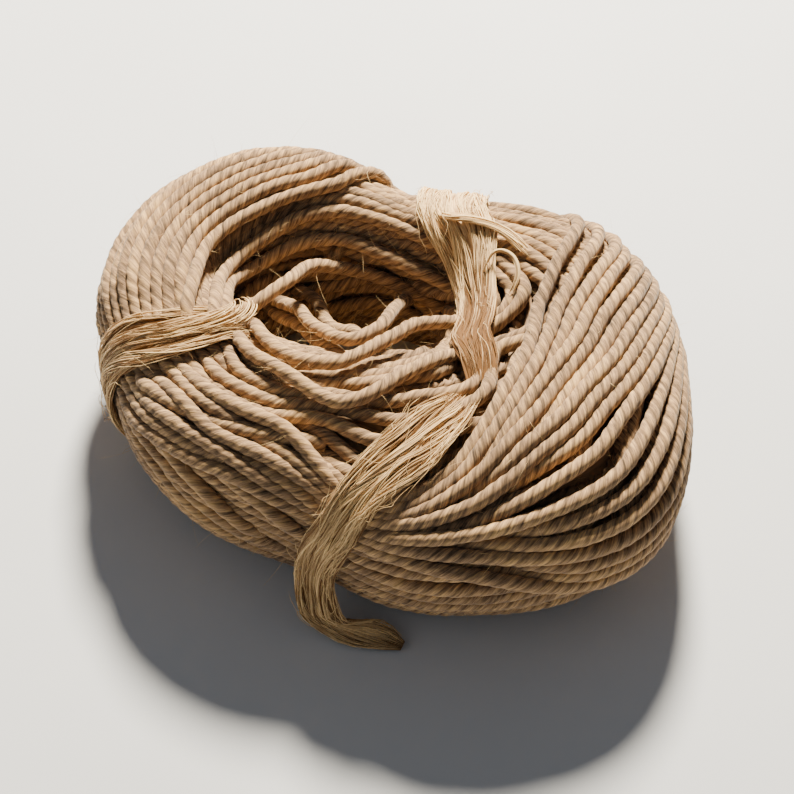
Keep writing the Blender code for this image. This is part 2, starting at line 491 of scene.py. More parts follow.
RIM_TURNS = {
    "high": rows(FibreRow, (80, 210, -2.0), (86, 204, 0.5), (101, 192, 1.2), (109, 181, 1.2),
                 (113, 160, 1.0), (110, 140, 1.0), (96, 118, 0.8), (76, 105, 1.2),
                 (57, 96, 1.4), (44, 90, -4.0), (34, 84, -10.0)),
    "middle": rows(FibreRow, (92, 216, -4.0), (96, 210, -1.5), (116, 195, -1.0),
                   (133, 176, -1.0), (132, 154, -1.0), (124, 134, -1.0), (117, 112, -1.2),
                   (116, 89, -1.6), (122, 70, -2.5), (128, 56, -4.5), (132, 44, -7.0)),
    "low": rows(FibreRow, (104, 212, -5.0), (113, 204, -2.0), (132, 188, -1.5),
                (147, 169, -1.5), (145, 148, -1.0), (141, 118, 0.0), (144, 90, 2.6),
                (148, 70, 3.0), (153, 50, 1.5), (158, 36, -5.0)),
    "slant_1": rows(FibreRow, (36, 214, -9.0), (40, 220, -3.0), (43, 224, -1.8),
                    (47, 236, -1.2), (50, 246, -1.2), (52, 256, -1.4), (54, 265, -2.4),
                    (56, 274, -8.0)),
    "slant_2": rows(FibreRow, (26, 228, -9.0), (24, 234, -2.5), (22, 239, -1.4),
                    (16, 246, -1.2), (7, 252, -1.4), (-5, 258, -2.8), (-16, 262, -9.0)),
    "slant_3": rows(FibreRow, (34, 244, -9.0), (30, 250, -2.5), (26, 256, -1.4),
                    (21, 262, -1.2), (14, 268, -1.6), (9, 273, -4.0), (5, 278, -9.0)),
}
DIPS = rows(Dip, (158, 128, 62, 34, 4.6), (84, 136, 46, 34, 4.2), (266, 120, 58, 44, 7.0),
            (236, 150, 40, 34, 9.0))
LEFT_TIE = rows(TieRow, (-62, 208, 8), (-35, 206, 16), (0, 205, 22), (40, 208, 24),
                (68, 214, 21), (95, 217, 17, 1.5), (115, 217, 15, 8.0), (140, 215, 13, 8.5),
                (180, 210, 12, 8.5), (225, 206, 14, 4.0), (262, 205, 16))
UPPER_TIE = rows(TieRow, (-75, 86, 13), (-35, 80, 18), (0, 74, 22), (40, 67, 26), (78, 59, 29),
                 (111, 44, 27), (134, 26, 22), (138, 3, 19), (129, 342, 17),
                 (112, 330, 15, 1.0), (101, 324, 11, 4.0))
LOWER_TIE = rows(TieRow, (94, 318, 8, 6.0), (84, 312, 14, 2.5), (70, 301, 20), (43, 284, 19),
                 (5, 276, 16), (-16, 273, 16))
LOWER_TAIL = rows(TailRow, (2, -109.0, 23, 17, -111.0, 21), (3, -111.0, 14, 20, -113.0, 14),
                  (9, -112.5, 6, 25, -110.0, 11), (20, -115.5, 2, 30, -106.5, 8),
                  (32, -116.5, 2, 38, -106.5, 5), (43, -114.5, 2, 44, -110.5, 3))
TAIL_STATIONS = 5
JOIN_ROWS = 6                 # stations each side of where a loose end starts, evened out
JOIN_ROUNDS = 14
NEAREST_ROUNDS = 8            # steps in which the place under a tie's edge is found
NEAREST_MIDDLE = 0.05         # share of a section's reach, closer to its middle is as far
GRID_END = 1.0001             # keeps a place in a grid before the last row and column
FLOOR_GAP = 1.7               # fibre radii from the surface below to the lowest fibres
FLOOR_RISE = 0.1              # share of a fibre's height over the tie that is kept there
LOCKS = {
    "tie_left": LockLook(9, 15, 50, 1.5, 0.30, 90.0, 2.0, 3.0, -0.03, 21),
    # the upper tie's tone is partly its own paler fibre and partly painted light against its
    # branch's shadow
    "tie_upper": LockLook(11, 20, 40, 1.6, 0.34, 120.0, 0.60, 0.83, 0.14, 22),
    "tie_lower": LockLook(8, 22, 64, 1.6, 0.30, 100.0, 2.0, 3.0, 0.00, 23),
}
BRANCH = rows(FibreRow, (94, 60, -1.5), (101, 53, 0.9), (101, 47, 1.5), (100, 40, 1.5),
              (100, 33, 1.2), (100, 27, 0.2), (99, 21, -2.5))
CURL = rows(FibreRow, (133, 20, -2.0), (124, 22, 1.5), (116, 24, 3.5), (111, 22, 4.0),
            (109, 18, 2.5), (112, 12, 0.0), (120, 6, -3.0))
FRAY = rows(FibreRow, (66, 213, 0.4), (82, 216, 1.4), (95, 217, 1.8), (106, 215, 1.6),
            (118, 209, 1.0), (130, 201, -0.6))
LOOSE_LOCKS = {               # course, number of fibres and radius in mm, by tie
    "tie_upper": ((BRANCH, 40, 1.6), (CURL, 12, 0.55)),
    "tie_left": ((FRAY, 44, 4.2),),
    "tie_lower": (),
}
LOCK_STEPS = 5                # points between two rows of a lock
FIBRE_POINTS = 26             # along a fibre of a tie
FIBRE_RADIUS = 0.24           # mm
FIBRE_SIDES = 5
HAIR_SIDES = 3
BASE_PAINTED_SHADE = 0.14             # painted shade: how much darker a tie's base is than its fibres, where it shows between them
RUST_SHADE = 0.42             # how much darker its brown end is
STREAK_REACH = 0.08           # share of a tie's length by which its streaks differ
STREAK_TURN = 2.3             # radians from one bundle of fibres to the next

FAN = Winding(turns=18, seed=3, lift=-2.4, sideways=1.9, up_down=1.0,
              stacked=3, stack_depth=4.6, crowded=1.0, cap=0.6, cap_under_fan=0.0,
              pressed=-5.6, pressed_under_fan=0.0, dips=False)
OUTER = Winding(turns=46, seed=5, lift=-3.4, sideways=4.2, up_down=1.9,
                stacked=2, stack_depth=5.4, crowded=0.25, cap=-3.0, cap_under_fan=-2.4,
                pressed=-5.6, pressed_under_fan=-5.4, dips=True)
INNER = Winding(turns=34, seed=8, lift=-9.0, sideways=4.0, up_down=1.5,
                stacked=1, stack_depth=0.0, crowded=1.0, cap=-7.5, cap_under_fan=-4.0,
                pressed=-11.0, pressed_under_fan=-5.0, dips=True)
SEAM = 322.5                  # angle round the eye where every layer starts
OUTER_START = 262.0           # angle round the section where the outer turns start
INNER_START = 80.0
OUTER_PIECES = 3
FAN_MARGIN = 3.0              # mm from the fan's edge to the middle of its first turn
UNDER_FAN_FADE = 9.0          # degrees round the section in which the fan covers a turn
HALF_HEIGHT = 44.0            # mean half height of a section, mm
SIDEWAYS_POINTS = 34          # slices between two changes of a turn's way sideways
UP_DOWN_POINTS = 22           # and of its way up and down

SLICES = 192                  # half planes round the eye in which the turns are placed
AROUND_STEP = 2.0             # degrees round the section between two entries of a lookup
SETTLE_ROUNDS = 70
PULL = 0.05                   # how strongly a turn is drawn to its own course
PUSH = 0.55
MOST_PUSH = 1.5               # mm in one round
LEAST_APART = 0.5             # mm, below which turns are pushed no harder
SMOOTH = 0.5
SMOOTH_PASSES = 3
LAST_PASSES = 14
END_POINTS = 26               # slices over which the ends of a layer dive under it
END_DIVE = 11.0               # mm
LOOSE_STEPS = 8               # points between two rows of a loose turn
ELSEWHERE = -900.0            # mm, where a loose turn counts in the slices it doesn't cross

# The camera stands as in the photograph: degrees round and above the ball, mm.
PHOTO_AZIMUTH = 13.0
PHOTO_ELEVATION = 52.0
PHOTO_DISTANCE = 750.0
PHOTO_TARGET = (6.3, -7.2, 43.5)
PHOTO_LENS = 85.0
PHOTO_SENSOR = 36.0
NEAR_CLIP = 10.0


# ---------------------------------------------------------------------- the form

def ease(share: float | Array) -> float | Array:
    """Share that starts and ends level, from 0 to 1."""
    return share * share * (3.0 - 2.0 * share)


def hermite(share: float | Array, before: float | Array, start: float | Array,
            end: float | Array, after: float | Array, spans: tuple) -> float | Array:
    """Cubic through start and end that follows the neighbours' slopes.

    Args:
        share: how far the place lies between start and end, from 0 to 1.
        before: value before start.
        start: value at 0.
        end: value at 1.
        after: value after end.
        spans: distance from before to start, start to end and end to after.

    Returns:
        The value at the place.
    """
    span_before, span, span_after = spans
    slope_start = (end - before) / (span_before + span) * span
    slope_end = (after - start) / (span + span_after) * span
    square = share * share
    cube = square * share
    return (
        (2 * cube - 3 * square + 1) * start
        + (cube - 2 * square + share) * slope_start
        + (3 * square - 2 * cube) * end
        + (cube - square) * slope_end
    )


def round_table(table: tuple, column: str, angle: float | Array) -> Array:
    """A column of a table that closes on itself, read at any angle round the eye.

    Args:
        table: rows, each with its angle.
        column: name of the column.
        angle: degrees, any shape.

    Returns:
        The column's values, in the shape of angle.
    """
    angles = np.array([row.angle for row in table], dtype=float)
    values = np.array([getattr(row, column) for row in table], dtype=float)
    angles = np.concatenate([angles[-2:] - 360.0, angles, angles[:3] + 360.0])
    values = np.concatenate([values[-2:], values, values[:3]])
    angle = np.mod(np.asarray(angle, dtype=float), 360.0)
    at = np.searchsorted(angles, angle, side="right") - 1
    spans = (angles[at] - angles[at - 1], angles[at + 1] - angles[at],
             angles[at + 2] - angles[at + 1])
    share = (angle - angles[at]) / spans[1]
    return hermite(share, values[at - 1], values[at], values[at + 1], values[at + 2], spans)


def guide(table: tuple, columns: tuple, knots: tuple | Array, angle: Array,
          share: Array) -> Array:
    """Reads a table of courses between its rows and between its columns.

    Args:
        table: rows, each with its angle.
        columns: names of its columns, from one edge to the other.
        knots: where each column lies, rising.
        angle: degrees round the eye.
        share: what the knots measure, in the shape of angle.

    Returns:
        Angles round the section.
    """
    values = np.stack([round_table(table, name, angle) for name in columns])
    knots = np.asarray(knots, dtype=float)
    at = np.clip(np.searchsorted(knots, share, side="right") - 1, 0, len(knots) - 2)
    part = (share - knots[at]) / (knots[at + 1] - knots[at])
    low = np.take_along_axis(values, at[None], axis=0)[0]
    high = np.take_along_axis(values, at[None] + 1, axis=0)[0]
    return low + (high - low) * part


def open_column(table: tuple, column: str, steps: int) -> Array:
    """A column of a table with two ends, read at even steps between its rows.

    Args:
        table: its rows.
        column: name of the column.
        steps: values from one row to the next.

    Returns:
        The values.
    """
    return open_values([getattr(row, column) for row in table], steps)


def open_values(values: list | Array, steps: int) -> Array:
    """Values with two ends, read at even steps between them.

    Args:
        values: one for each row.
        steps: values from one row to the next.

    Returns:
        The values.
    """
    values = [float(value) for value in values]
    values = [2 * values[0] - values[1]] + values + [2 * values[-1] - values[-2]]
    found = []
    for row in range(len(values) - 3):
        for step in range(steps):
            found.append(hermite(step / steps, *values[row:row + 4], (1.0, 1.0, 1.0)))
    found.append(values[-2])
    return np.array(found)


class WoundForm:
    """The smooth form of the ball, in half planes round its eye."""

    def sizes(self, angle: float | Array) -> tuple:
        """Eye, crest, outside and height of the section at an angle, in mm."""
        return tuple(round_table(SECTIONS, name, angle)
                     for name in ("eye", "crest", "outside", "height"))

    def _halves(self, sizes: tuple, above: Array) -> tuple:
        """Middle radius and half height of a section, above and below its middle."""
        eye, crest, outside, height = sizes
        return (np.where(above, crest, 0.5 * (eye + outside)),
                np.where(above, height, FORM.underside_depth))

    def _half(self, sizes: tuple, middle: Array, across: Array, above: Array) -> tuple:
        """Half width and roundness of a section, on the side that across points to."""
        return (np.where(across > 0, sizes[2] - middle, middle - sizes[0]),
                np.where(above & (across < 0), FORM.inner_roundness, FORM.outer_roundness))

    def ring(self, sizes: tuple, around: float | Array, lift: float | Array) -> Array:
        """Radius and level of a place of a section.

        Args:
            sizes: what sizes() gave for the section.
            around: degrees round the section, 0 outside, 90 on top, 180 in the eye.
            lift: mm out of the form.

        Returns:
            Array whose last axis is radius and level, in mm.
        """
        turn = np.radians(around)
        across, up = np.cos(turn), np.sin(turn)
        above = up > 0
        middle, half_height = self._halves(sizes, above)
        half_width, power = self._half(sizes, middle, across, above)
        reach = (np.abs(across) ** power + np.abs(up) ** power) ** (-1.0 / power)
        radius = middle + (half_width * reach + lift) * across
        level = FORM.middle_height + (half_height * reach + lift) * up
        return np.stack([radius, level], axis=-1)

    def unwrap(self, sizes: tuple, ring: Array) -> tuple:
        """Angle round the section and lift of a place given by its radius and level.

        Args:
            sizes: what sizes() gave for the section.
            ring: radius and level in mm, on the last axis.

        Returns:
            Degrees round the section, and mm out of the form.
        """
        up = ring[..., 1] - FORM.middle_height
        above = ring[..., 1] > FORM.middle_height
        middle, half_height = self._halves(sizes, above)
        across = ring[..., 0] - middle
        half_width, power = self._half(sizes, middle, across, above)
        wide, high = across / half_width, up / half_height
        around = np.degrees(np.arctan2(high, wide))
        share = (np.abs(wide) ** power + np.abs(high) ** power) ** (1.0 / power)
        return around, np.hypot(across, up) * (1.0 - 1.0 / np.maximum(share, NEAREST_MIDDLE))

    def place(self, angle: float | Array, around: float | Array,
              lift: float | Array = 0.0) -> Array:
        """Point of the form in mm, lifted out of it."""
        return place_ring(angle, self.ring(self.sizes(angle), around, lift))


def place_ring(angle: float | Array, ring: Array) -> Array:
    """Points in mm from angles round the eye and rings of radius and level."""
    heading = np.radians(angle)
    return np.stack([FORM.eye_x + ring[..., 0] * np.cos(heading),
                     FORM.eye_y + ring[..., 0] * np.sin(heading), ring[..., 1]], axis=-1)


# ---------------------------------------------------------------------- the ties

class TieSheet:
    """Middle surface of one tie, with calls to find places on and over it."""

    across_points = 5

    def __init__(self, name: str, form: WoundForm, table: tuple, tail: tuple = ()) -> None:
        """Works out the tie's middle surface.

        Args:
            name: the tie's node.
            form: the form that it lies on.
            table: its course over the ball.
            tail: its loose end.
        """
        self.name = name
        self.form = form
        angles = np.degrees(np.unwrap(np.radians([row.angle for row in table])))
        self.angle = open_values(angles, TIE.stations)
        self.around = open_column(table, "around", TIE.stations)
        self.width = open_column(table, "width", TIE.stations)
        self.sink = np.maximum(open_column(table, "sink", TIE.stations), 0.0)
        self.line = form.place(self.angle, self.around)
        self.middle = self._on_ball()
        if tail:
            self._join(self._tail(tail))
        self.normals = sheet_normals(self.middle)
        steps = np.linalg.norm(np.diff(self.middle[:, self.across_points // 2], axis=0), axis=1)
        self.run = np.concatenate([[0.0], np.cumsum(steps)])
        self.length = float(self.run[-1])

    def _slopes(self, angle: Array, around: Array) -> tuple:
        """Steps over the form.

        Args:
            angle: degrees round the eye.
            around: degrees round the section.

        Returns:
            The step for a degree round the eye, and that for a degree round the section.
        """
        turn = self.form.place(angle + 0.5, around) - self.form.place(angle - 0.5, around)
        lap = self.form.place(angle, around + 0.5) - self.form.place(angle, around - 0.5)
        return turn, lap

    def _nearest(self, targets: Array, angle: Array, around: Array) -> tuple:
        """Places of the form nearest to some points.

        Args:
            targets: the points, in mm.
            angle: where the search starts, degrees round the eye.
            around: and degrees round the section.

        Returns:
            Degrees round the eye and degrees round the section.
        """
        for _ in range(NEAREST_ROUNDS):
            turn, lap = self._slopes(angle, around)
            miss = targets - self.form.place(angle, around)
            turn_turn = np.sum(turn * turn, axis=-1)
            turn_lap = np.sum(turn * lap, axis=-1)
            lap_lap = np.sum(lap * lap, axis=-1)
            turn_miss = np.sum(turn * miss, axis=-1)
            lap_miss = np.sum(lap * miss, axis=-1)
            scale = turn_turn * lap_lap - turn_lap * turn_lap
            angle = angle + (lap_lap * turn_miss - turn_lap * lap_miss) / scale
            around = around + (turn_turn * lap_miss - turn_lap * turn_miss) / scale
        return angle, around

    def _on_ball(self) -> Array:
        """Middle surface of the part that lies on the ball, and which way it faces.

        Returns:
            Points in mm, by station and column.
        """
        side = np.cross(np.cross(*self._slopes(self.angle, self.around)),
                        np.gradient(self.line, axis=0))
        side *= 0.5 * self.width[:, None] / np.linalg.norm(side, axis=-1, keepdims=True)
        share = np.linspace(-1.0, 1.0, self.across_points)
        targets = self.line[:, None, :] + side[:, None, :] * share[None, :, None]
        angle, around = self._nearest(
            targets, np.repeat(self.angle[:, None], self.across_points, axis=1),
            np.repeat(self.around[:, None], self.across_points, axis=1))
        bed = self.form.place(angle, around, -TIE.groove - self.sink[:, None])
        outward = self.form.place(angle, around) - bed
        normals = sheet_normals(bed)
        facing = np.sign(np.sum(normals * outward, axis=-1, keepdims=True))
        self.facing = float(facing[len(facing) // 2, self.across_points // 2, 0])
        return bed + normals * facing * (TIE.gap + 0.5 * TIE.thickness)

    def _tail(self, table: tuple) -> Array:
        """Middle surface of the loose end.

        Args:
            table: its edges.

        Returns:
            Points in mm, by station and column.
        """
        left, right = (
            np.stack([open_column(table, f"{edge}_{axis}", TAIL_STATIONS) for axis in "xyz"],
                     axis=-1)
            for edge in ("left", "right"))
        share = np.linspace(0.0, 1.0, self.across_points)[None, :, None]
        middle = left[:, None, :] * (1.0 - share) + right[:, None, :] * share
        return middle + np.array([FORM.eye_x, FORM.eye_y, 0.0])

    def _join(self, tail: Array) -> None:
        """Adds the loose end to the middle surface and evens out the join.

        Args:
            tail: middle surface of the loose end.
        """
        join = len(self.middle)
        self.middle = np.concatenate([self.middle, tail])
        near = self.middle[join - JOIN_ROWS:join + JOIN_ROWS]
        for _ in range(JOIN_ROUNDS):
            near[1:-1] = 0.5 * near[1:-1] + 0.25 * (near[:-2] + near[2:])

    def place(self, along: Array, across: Array, height: float | Array) -> Array:
        """Points over the tie.

        Args:
            along: mm from its start.
            across: -1 to 1 from edge to edge.
            height: mm out of its middle surface.

        Returns:
            Points in mm.
        """
        station = np.interp(along, self.run, np.arange(len(self.run)))
        column = (np.clip(across, -1.0, 1.0) + 1.0) * 0.5 * (self.across_points - 1)
        point = blend_grid(self.middle, station, column)
        over = np.maximum(np.abs(across) - 1.0, 0.0) * np.sign(across)
        half = 0.5 * (self.middle[:, -1] - self.middle[:, 0])
        beside = half[np.clip(np.round(station).astype(int), 0, len(half) - 1)]
        normal = blend_grid(self.normals, station, column) * self.facing
        point = point + beside * over[..., None] + normal * np.asarray(height)[..., None]
        lowest = FLOOR_GAP * FIBRE_RADIUS + FLOOR_RISE * np.asarray(height)
        point[..., 2] = np.maximum(point[..., 2], lowest)
        return point

    def mean_width(self) -> float:
        """Width of the tie between its edges, as a mean over its length, in mm."""
        edges = np.linalg.norm(self.middle[:, -1] - self.middle[:, 0], axis=-1)
        return float(edges.mean())

    def groove_share(self, points: Array) -> Array:
        """How deep in this tie's groove some points lie.

        Args:
            points: in mm.

        Returns:
            From 0 outside the groove to 1 at its bottom.
        """
        share = np.zeros(points.shape[:-1])
        for centre, width, sink in zip(self.line, self.width, self.sink):
            side = np.linalg.norm(points - centre, axis=-1) - 0.5 * width - TIE.margin
            pressed = max(0.0, 1.0 - sink / TIE.sunk)
            share = np.maximum(share, ease(np.clip(1.0 - side / TIE.slope, 0.0, 1.0) * pressed))
        return share


def blend_grid(grid: Array, row: Array, column: Array) -> Array:
    """Value of a grid between its rows and columns.

    Args:
        grid: points by row and column.
        row: where to read it, in rows.
        column: and in columns.

    Returns:
        The points there.
    """
    row = np.clip(row, 0, grid.shape[0] - GRID_END)
    column = np.clip(column, 0, grid.shape[1] - GRID_END)
    i, j = row.astype(int), column.astype(int)
    a, b = (row - i)[..., None], (column - j)[..., None]
    return ((grid[i, j] * (1 - b) + grid[i, j + 1] * b) * (1 - a)
            + (grid[i + 1, j] * (1 - b) + grid[i + 1, j + 1] * b) * a)


def sheet_normals(middle: Array) -> Array:
    """Unit normals of a grid of points."""
    normals = np.cross(np.gradient(middle, axis=0), np.gradient(middle, axis=1))
    return normals / np.linalg.norm(normals, axis=-1, keepdims=True)


# --------------------------------------------------------------------- mesh helpers

def add_object(name: str, data: bpy.types.ID) -> Item:
    """Puts a mesh, a lamp or a camera into the scene.

    Args:
        name: the object's name.
        data: the mesh, the lamp or the camera.

    Returns:
        The object.
    """
    item = bpy.data.objects.new(name, data)
    bpy.context.collection.objects.link(item)
    return item


def point_mesh(name: str, points: Array, fields: dict) -> bpy.types.Mesh:
    """Mesh that has only points yet, with values for them.

    Args:
        name: the mesh's name.
        points: in metres.
        fields: values for each point by attribute name, scalars or vectors.

    Returns:
        The mesh.
    """
    mesh = bpy.data.meshes.new(name)
    mesh.vertices.add(len(points))
    mesh.vertices.foreach_set("co", np.asarray(points, dtype=np.float32).ravel())
    for field, values in fields.items():
        values = np.asarray(values, dtype=np.float32)
        kind = "FLOAT" if values.ndim == 1 else "FLOAT_VECTOR"
        attribute = mesh.attributes.new(field, kind, "POINT")
        attribute.data.foreach_set("value" if kind == "FLOAT" else "vector", values.ravel())
    return mesh


def polyline_object(name: str, paths: list, fields: dict | None = None) -> Item:
    """Mesh of open polylines.

    Args:
        name: the object's name.
        paths: arrays of points in mm.
        fields: values for each point by attribute name, as lists of arrays.

    Returns:
        The object.
    """
    joined = {field: np.concatenate(arrays) for field, arrays in (fields or {}).items()}
    mesh = point_mesh(name, np.concatenate(paths) * MM, joined)
    last = np.cumsum([len(path) for path in paths]) - 1
    here = np.delete(np.arange(last[-1] + 1), last)
    mesh.edges.add(len(here))
    ends = np.stack([here, here + 1], axis=1)
    mesh.edges.foreach_set("vertices", ends.astype(np.int32).ravel())
    mesh.update()
    return add_object(name, mesh)


def mesh_object(name: str, points: Array, faces: Array, fields: dict, finish: Finish) -> Item:
    """Smooth mesh object with values for its points.

    Args:
        name: the object's name.
        points: in mm.
        faces: rows of four points each.
        fields: values for each point, by attribute name, scalars or vectors.
        finish: the material.

    Returns:
        The object.
    """
    mesh = point_mesh(name, points * MM, fields)
    mesh.loops.add(faces.size)
    mesh.loops.foreach_set("vertex_index", faces.astype(np.int32).ravel())
    mesh.polygons.add(len(faces))
    mesh.polygons.foreach_set("loop_start", np.arange(0, faces.size, 4, dtype=np.int32))
    mesh.polygons.foreach_set("use_smooth", np.ones(len(faces), dtype=bool))
    mesh.update(calc_edges=True)
    mesh.materials.append(finish)
    return add_object(name, mesh)


def strip_object(name: str, upper: Array, lower: Array, fields: dict,
                 finish: Finish) -> Item:
    """Closed mesh of two grids of points, joined at their edges.

    Args:
        name: the object's name.
        upper: points in mm, rows along and columns across.
        lower: the same below.
        fields: values for each point of both grids, by attribute name.
        finish: the material.

    Returns:
        The object.
    """
    above = np.arange(upper[..., 0].size).reshape(upper.shape[:2])
    below = above + above.size
    faces = []
    for grid, order in ((above, 1), (below, -1)):
        quad = np.stack([grid[:-1, :-1], grid[1:, :-1], grid[1:, 1:], grid[:-1, 1:]], axis=-1)
        faces.append(quad.reshape(-1, 4)[:, ::order])
    for edge, foot in ((above[:, 0], below[:, 0]), (above[::-1, -1], below[::-1, -1]),
                       (above[0, ::-1], below[0, ::-1]), (above[-1], below[-1])):
        faces.append(np.stack([foot[:-1], foot[1:], edge[1:], edge[:-1]], axis=-1))
    points = np.concatenate([upper.reshape(-1, 3), lower.reshape(-1, 3)])
    return mesh_object(name, points, np.concatenate(faces), fields, finish)


def bake(item: Item) -> None:
    """Replaces an object's modifiers by the mesh that they make.

    Args:
        item: the object.
    """
    graph = bpy.context.evaluated_depsgraph_get()
    made = bpy.data.meshes.new_from_object(
        item.evaluated_get(graph), preserve_all_data_layers=True, depsgraph=graph)
    item.modifiers.clear()
    old = item.data
    item.data = made
    bpy.data.meshes.remove(old)


# ------------------------------------------------------------------- the fibres

def wander(rng: np.random.Generator, count: int, every: int, size: float) -> Array:
    """Smooth random course of count values, with a new direction every few of them.

    Args:
        rng: source of the random draws.
        count: of values.
        every: values between two new directions.
        size: how far it goes, as a standard deviation.

    Returns:
        The values.
    """
    knots = rng.normal(0.0, size, count // every + 3)
    course = np.interp(np.arange(count) / every, np.arange(len(knots)), knots)
    window = np.hanning(every | 1)
    window /= window.sum()
    padded = np.pad(course, every, mode="edge")
    return np.convolve(padded, window, mode="same")[every:-every]


class FibreLock:
    """The fibres of one tie over its base band."""

    def __init__(self, tie: TieSheet, look: LockLook) -> None:
        """Starts without fibres.

        Args:
            tie: where the fibres lie.
            look: how many, and how they lie.
        """
        self.tie = tie
        self.look = look
        self.rng = np.random.default_rng(look.seed)
        self.share = np.linspace(0.0, 1.0, FIBRE_POINTS)
        self.paths = []
        self.tapers = []
        self.tints = []

    def band(self, finish: Finish) -> Item:
        """Base of the lock: a thin ribbed band with uneven edges.

        Args:
            finish: the material.

        Returns:
            The object.
        """
        tie, rng = self.tie, np.random.default_rng(self.look.seed + BAND.seed)
        stations = int(tie.length / BAND.step) + 1
        along = np.linspace(0.0, tie.length, stations)[:, None]
        across = np.linspace(-1.0, 1.0, BAND.columns)[None, :]
        sway = wander(rng, stations, BAND.sway_every, BAND.sway)[:, None]
        left, right = (
            BAND.edge + BAND.fray * wander(rng, stations, BAND.fray_every, 1.0)[:, None]
            for _ in range(2))
        spread = across * np.where(across < 0.0, left, right)
        phase = (across * BAND.ribs + sway) * math.pi
        rib = 0.5 + 0.5 * np.cos(phase + BAND.wave * np.sin(along / BAND.wave_length))
        taper = np.abs(across) ** BAND.edge_power
        taper = np.sqrt(np.clip(1.0 - taper, BAND.edge_least, 1.0))
        top = (BAND.valley + BAND.rib * rib) * taper
        run = np.repeat(along, BAND.columns, axis=1)
        upper = tie.place(run, spread, top)
        lower = tie.place(run, spread, -BAND.under * taper)
        if tie.facing < 0:
            upper, lower = lower, upper
        turning = np.stack([spread * BAND.pattern, top, np.zeros_like(top)], axis=-1)
        turning = turning.reshape(-1, 3)
        # painted shade on the band that shows between the fibres, with the tie's own tone and
        # brown end
        tint = self._rust(run / tie.length) + self.look.tone - BASE_PAINTED_SHADE
        fields = {"along": np.tile(run.ravel() * MM, 2), "turning": np.tile(turning, (2, 1)),
                  "lobe": np.tile((0.5 + 0.5 * rib).ravel(), 2),
                  "tint": np.tile(tint.ravel(), 2)}
        return strip_object(f"{tie.name}_band", upper, lower, fields, finish)

    def _rust(self, share: Array) -> Array:
        """Brown of the tie's end.

        Args:
            share: places, as shares of the tie's length.

        Returns:
            How much darker the fibres are there.
        """
        look = self.look
        part = np.clip((share - look.rust_start) / (look.rust_end - look.rust_start), 0.0, 1.0)
        return -(RUST_SHADE + look.tone) * ease(part)

    def _add(self, points: Array, taper: Array, tint: Array) -> None:
        """Keeps a fibre.

        Args:
            points: in mm.
            taper: its thickness at each.
            tint: its tone at each.
        """
        self.paths.append(points)
        self.tapers.append(taper)
        self.tints.append(tint)

    def _end(self, near: tuple, far: tuple) -> float:
        """Share of the tie's length where a fibre ends, most often near the tie's end."""
        return self.rng.uniform(*(near if self.rng.random() < LAY.whole else far))

    def lay(self) -> None:
        """Lays the bundles of fibre along the tie."""
        look, rng = self.look, self.rng
        for bundle in range(look.bundles):
            base = 2.0 * LAY.outermost * (bundle + 0.5) / look.bundles - LAY.outermost
            knots = rng.normal(0.0, look.cross, LAY.knots)
            level = LAY.lowest + rng.uniform(0.0, LAY.levels)
            start_turn = rng.uniform(0.0, FULL_TURN)
            streak = STREAK_REACH * math.sin(STREAK_TURN * bundle)
            for _ in range(look.fibres):
                self._lay_fibre(base, knots, level, start_turn, streak)

    def _lay_fibre(self, base: float, knots: Array, level: float, start_turn: float,
                   streak: float) -> None:
        """Lays one fibre of a bundle.

        Args:
            base: where its bundle lies, share of the tie's half width.
            knots: how far the bundle wanders from there, along the tie.
            level: height of the bundle's middle.
            start_turn: angle at which the bundle's fibres start round it.
            streak: how much later the bundle turns brown, share of the tie's length.
        """
        look, tie, rng = self.look, self.tie, self.rng
        first = self._end(LAY.near_start, LAY.far_start)
        last = self._end(LAY.near_end, LAY.far_end)
        part = first + (last - first) * self.share
        along = part * tie.length
        half = 0.5 * np.interp(along, tie.run[:len(tie.width)], tie.width)
        centre = base + np.interp(part * (LAY.knots - 1.0), np.arange(LAY.knots), knots)
        centre = np.clip(centre, -LAY.bundle_edge, LAY.bundle_edge)
        out = rng.uniform(*LAY.out) ** LAY.crowding * look.bundle
        turn = start_turn + rng.uniform(0.0, FULL_TURN) + along / look.twist * FULL_TURN
        beside = out * np.cos(turn) * LAY.wide
        beside = beside + wander(rng, FIBRE_POINTS, LAY.sway_every, LAY.sway)
        height = level + LAY.high * out * np.sin(turn)
        height = height + wander(rng, FIBRE_POINTS, LAY.heave_every, LAY.heave)
        thick = rng.uniform(*LAY.thickness)
        ends = np.clip(np.minimum(self.share, 1.0 - self.share) * LAY.point, LAY.thinnest, 1.0)
        brown = self._rust(part - streak) * rng.uniform(*LAY.brown)
        tint = rng.normal(look.tone, LAY.tint) + brown
        across = np.clip(centre + beside / half, -LAY.fibre_edge, LAY.fibre_edge)
        points = tie.place(along, across, np.clip(height, LAY.floor, LAY.top))
        self._add(points, thick * ends, tint)

    def stray(self) -> None:
        """Adds fibres that leave the tie and curl."""
        tie, rng, share = self.tie, self.rng, self.share
        for _ in range(self.look.strays):
            start = rng.uniform(*STRAY.start) * tie.length
            length = rng.uniform(*STRAY.length) * rng.choice([-1.0, 1.0])
            side = rng.choice([-1.0, 1.0])
            across = side * (rng.uniform(*STRAY.across)
                             + rng.uniform(*STRAY.aside) * share ** STRAY.bend)
            across = across + wander(rng, FIBRE_POINTS, STRAY.wriggle_every, STRAY.wriggle)
            height = STRAY.base + (rng.uniform(*STRAY.rise)
                                   * np.sin(share * rng.uniform(*STRAY.arch)))
            along = start + length * share
            along = along + wander(rng, FIBRE_POINTS, STRAY.creep_every, STRAY.creep)
            points = tie.place(np.clip(along, 0.0, tie.length), across,
                               np.abs(height) + STRAY.floor)
            taper = np.clip((1.0 - share) * STRAY.point, STRAY.thinnest, 1.0)
            self._add(points, STRAY.thickness * taper,
                      np.full(FIBRE_POINTS, rng.normal(STRAY.tint, STRAY.tint_spread)))

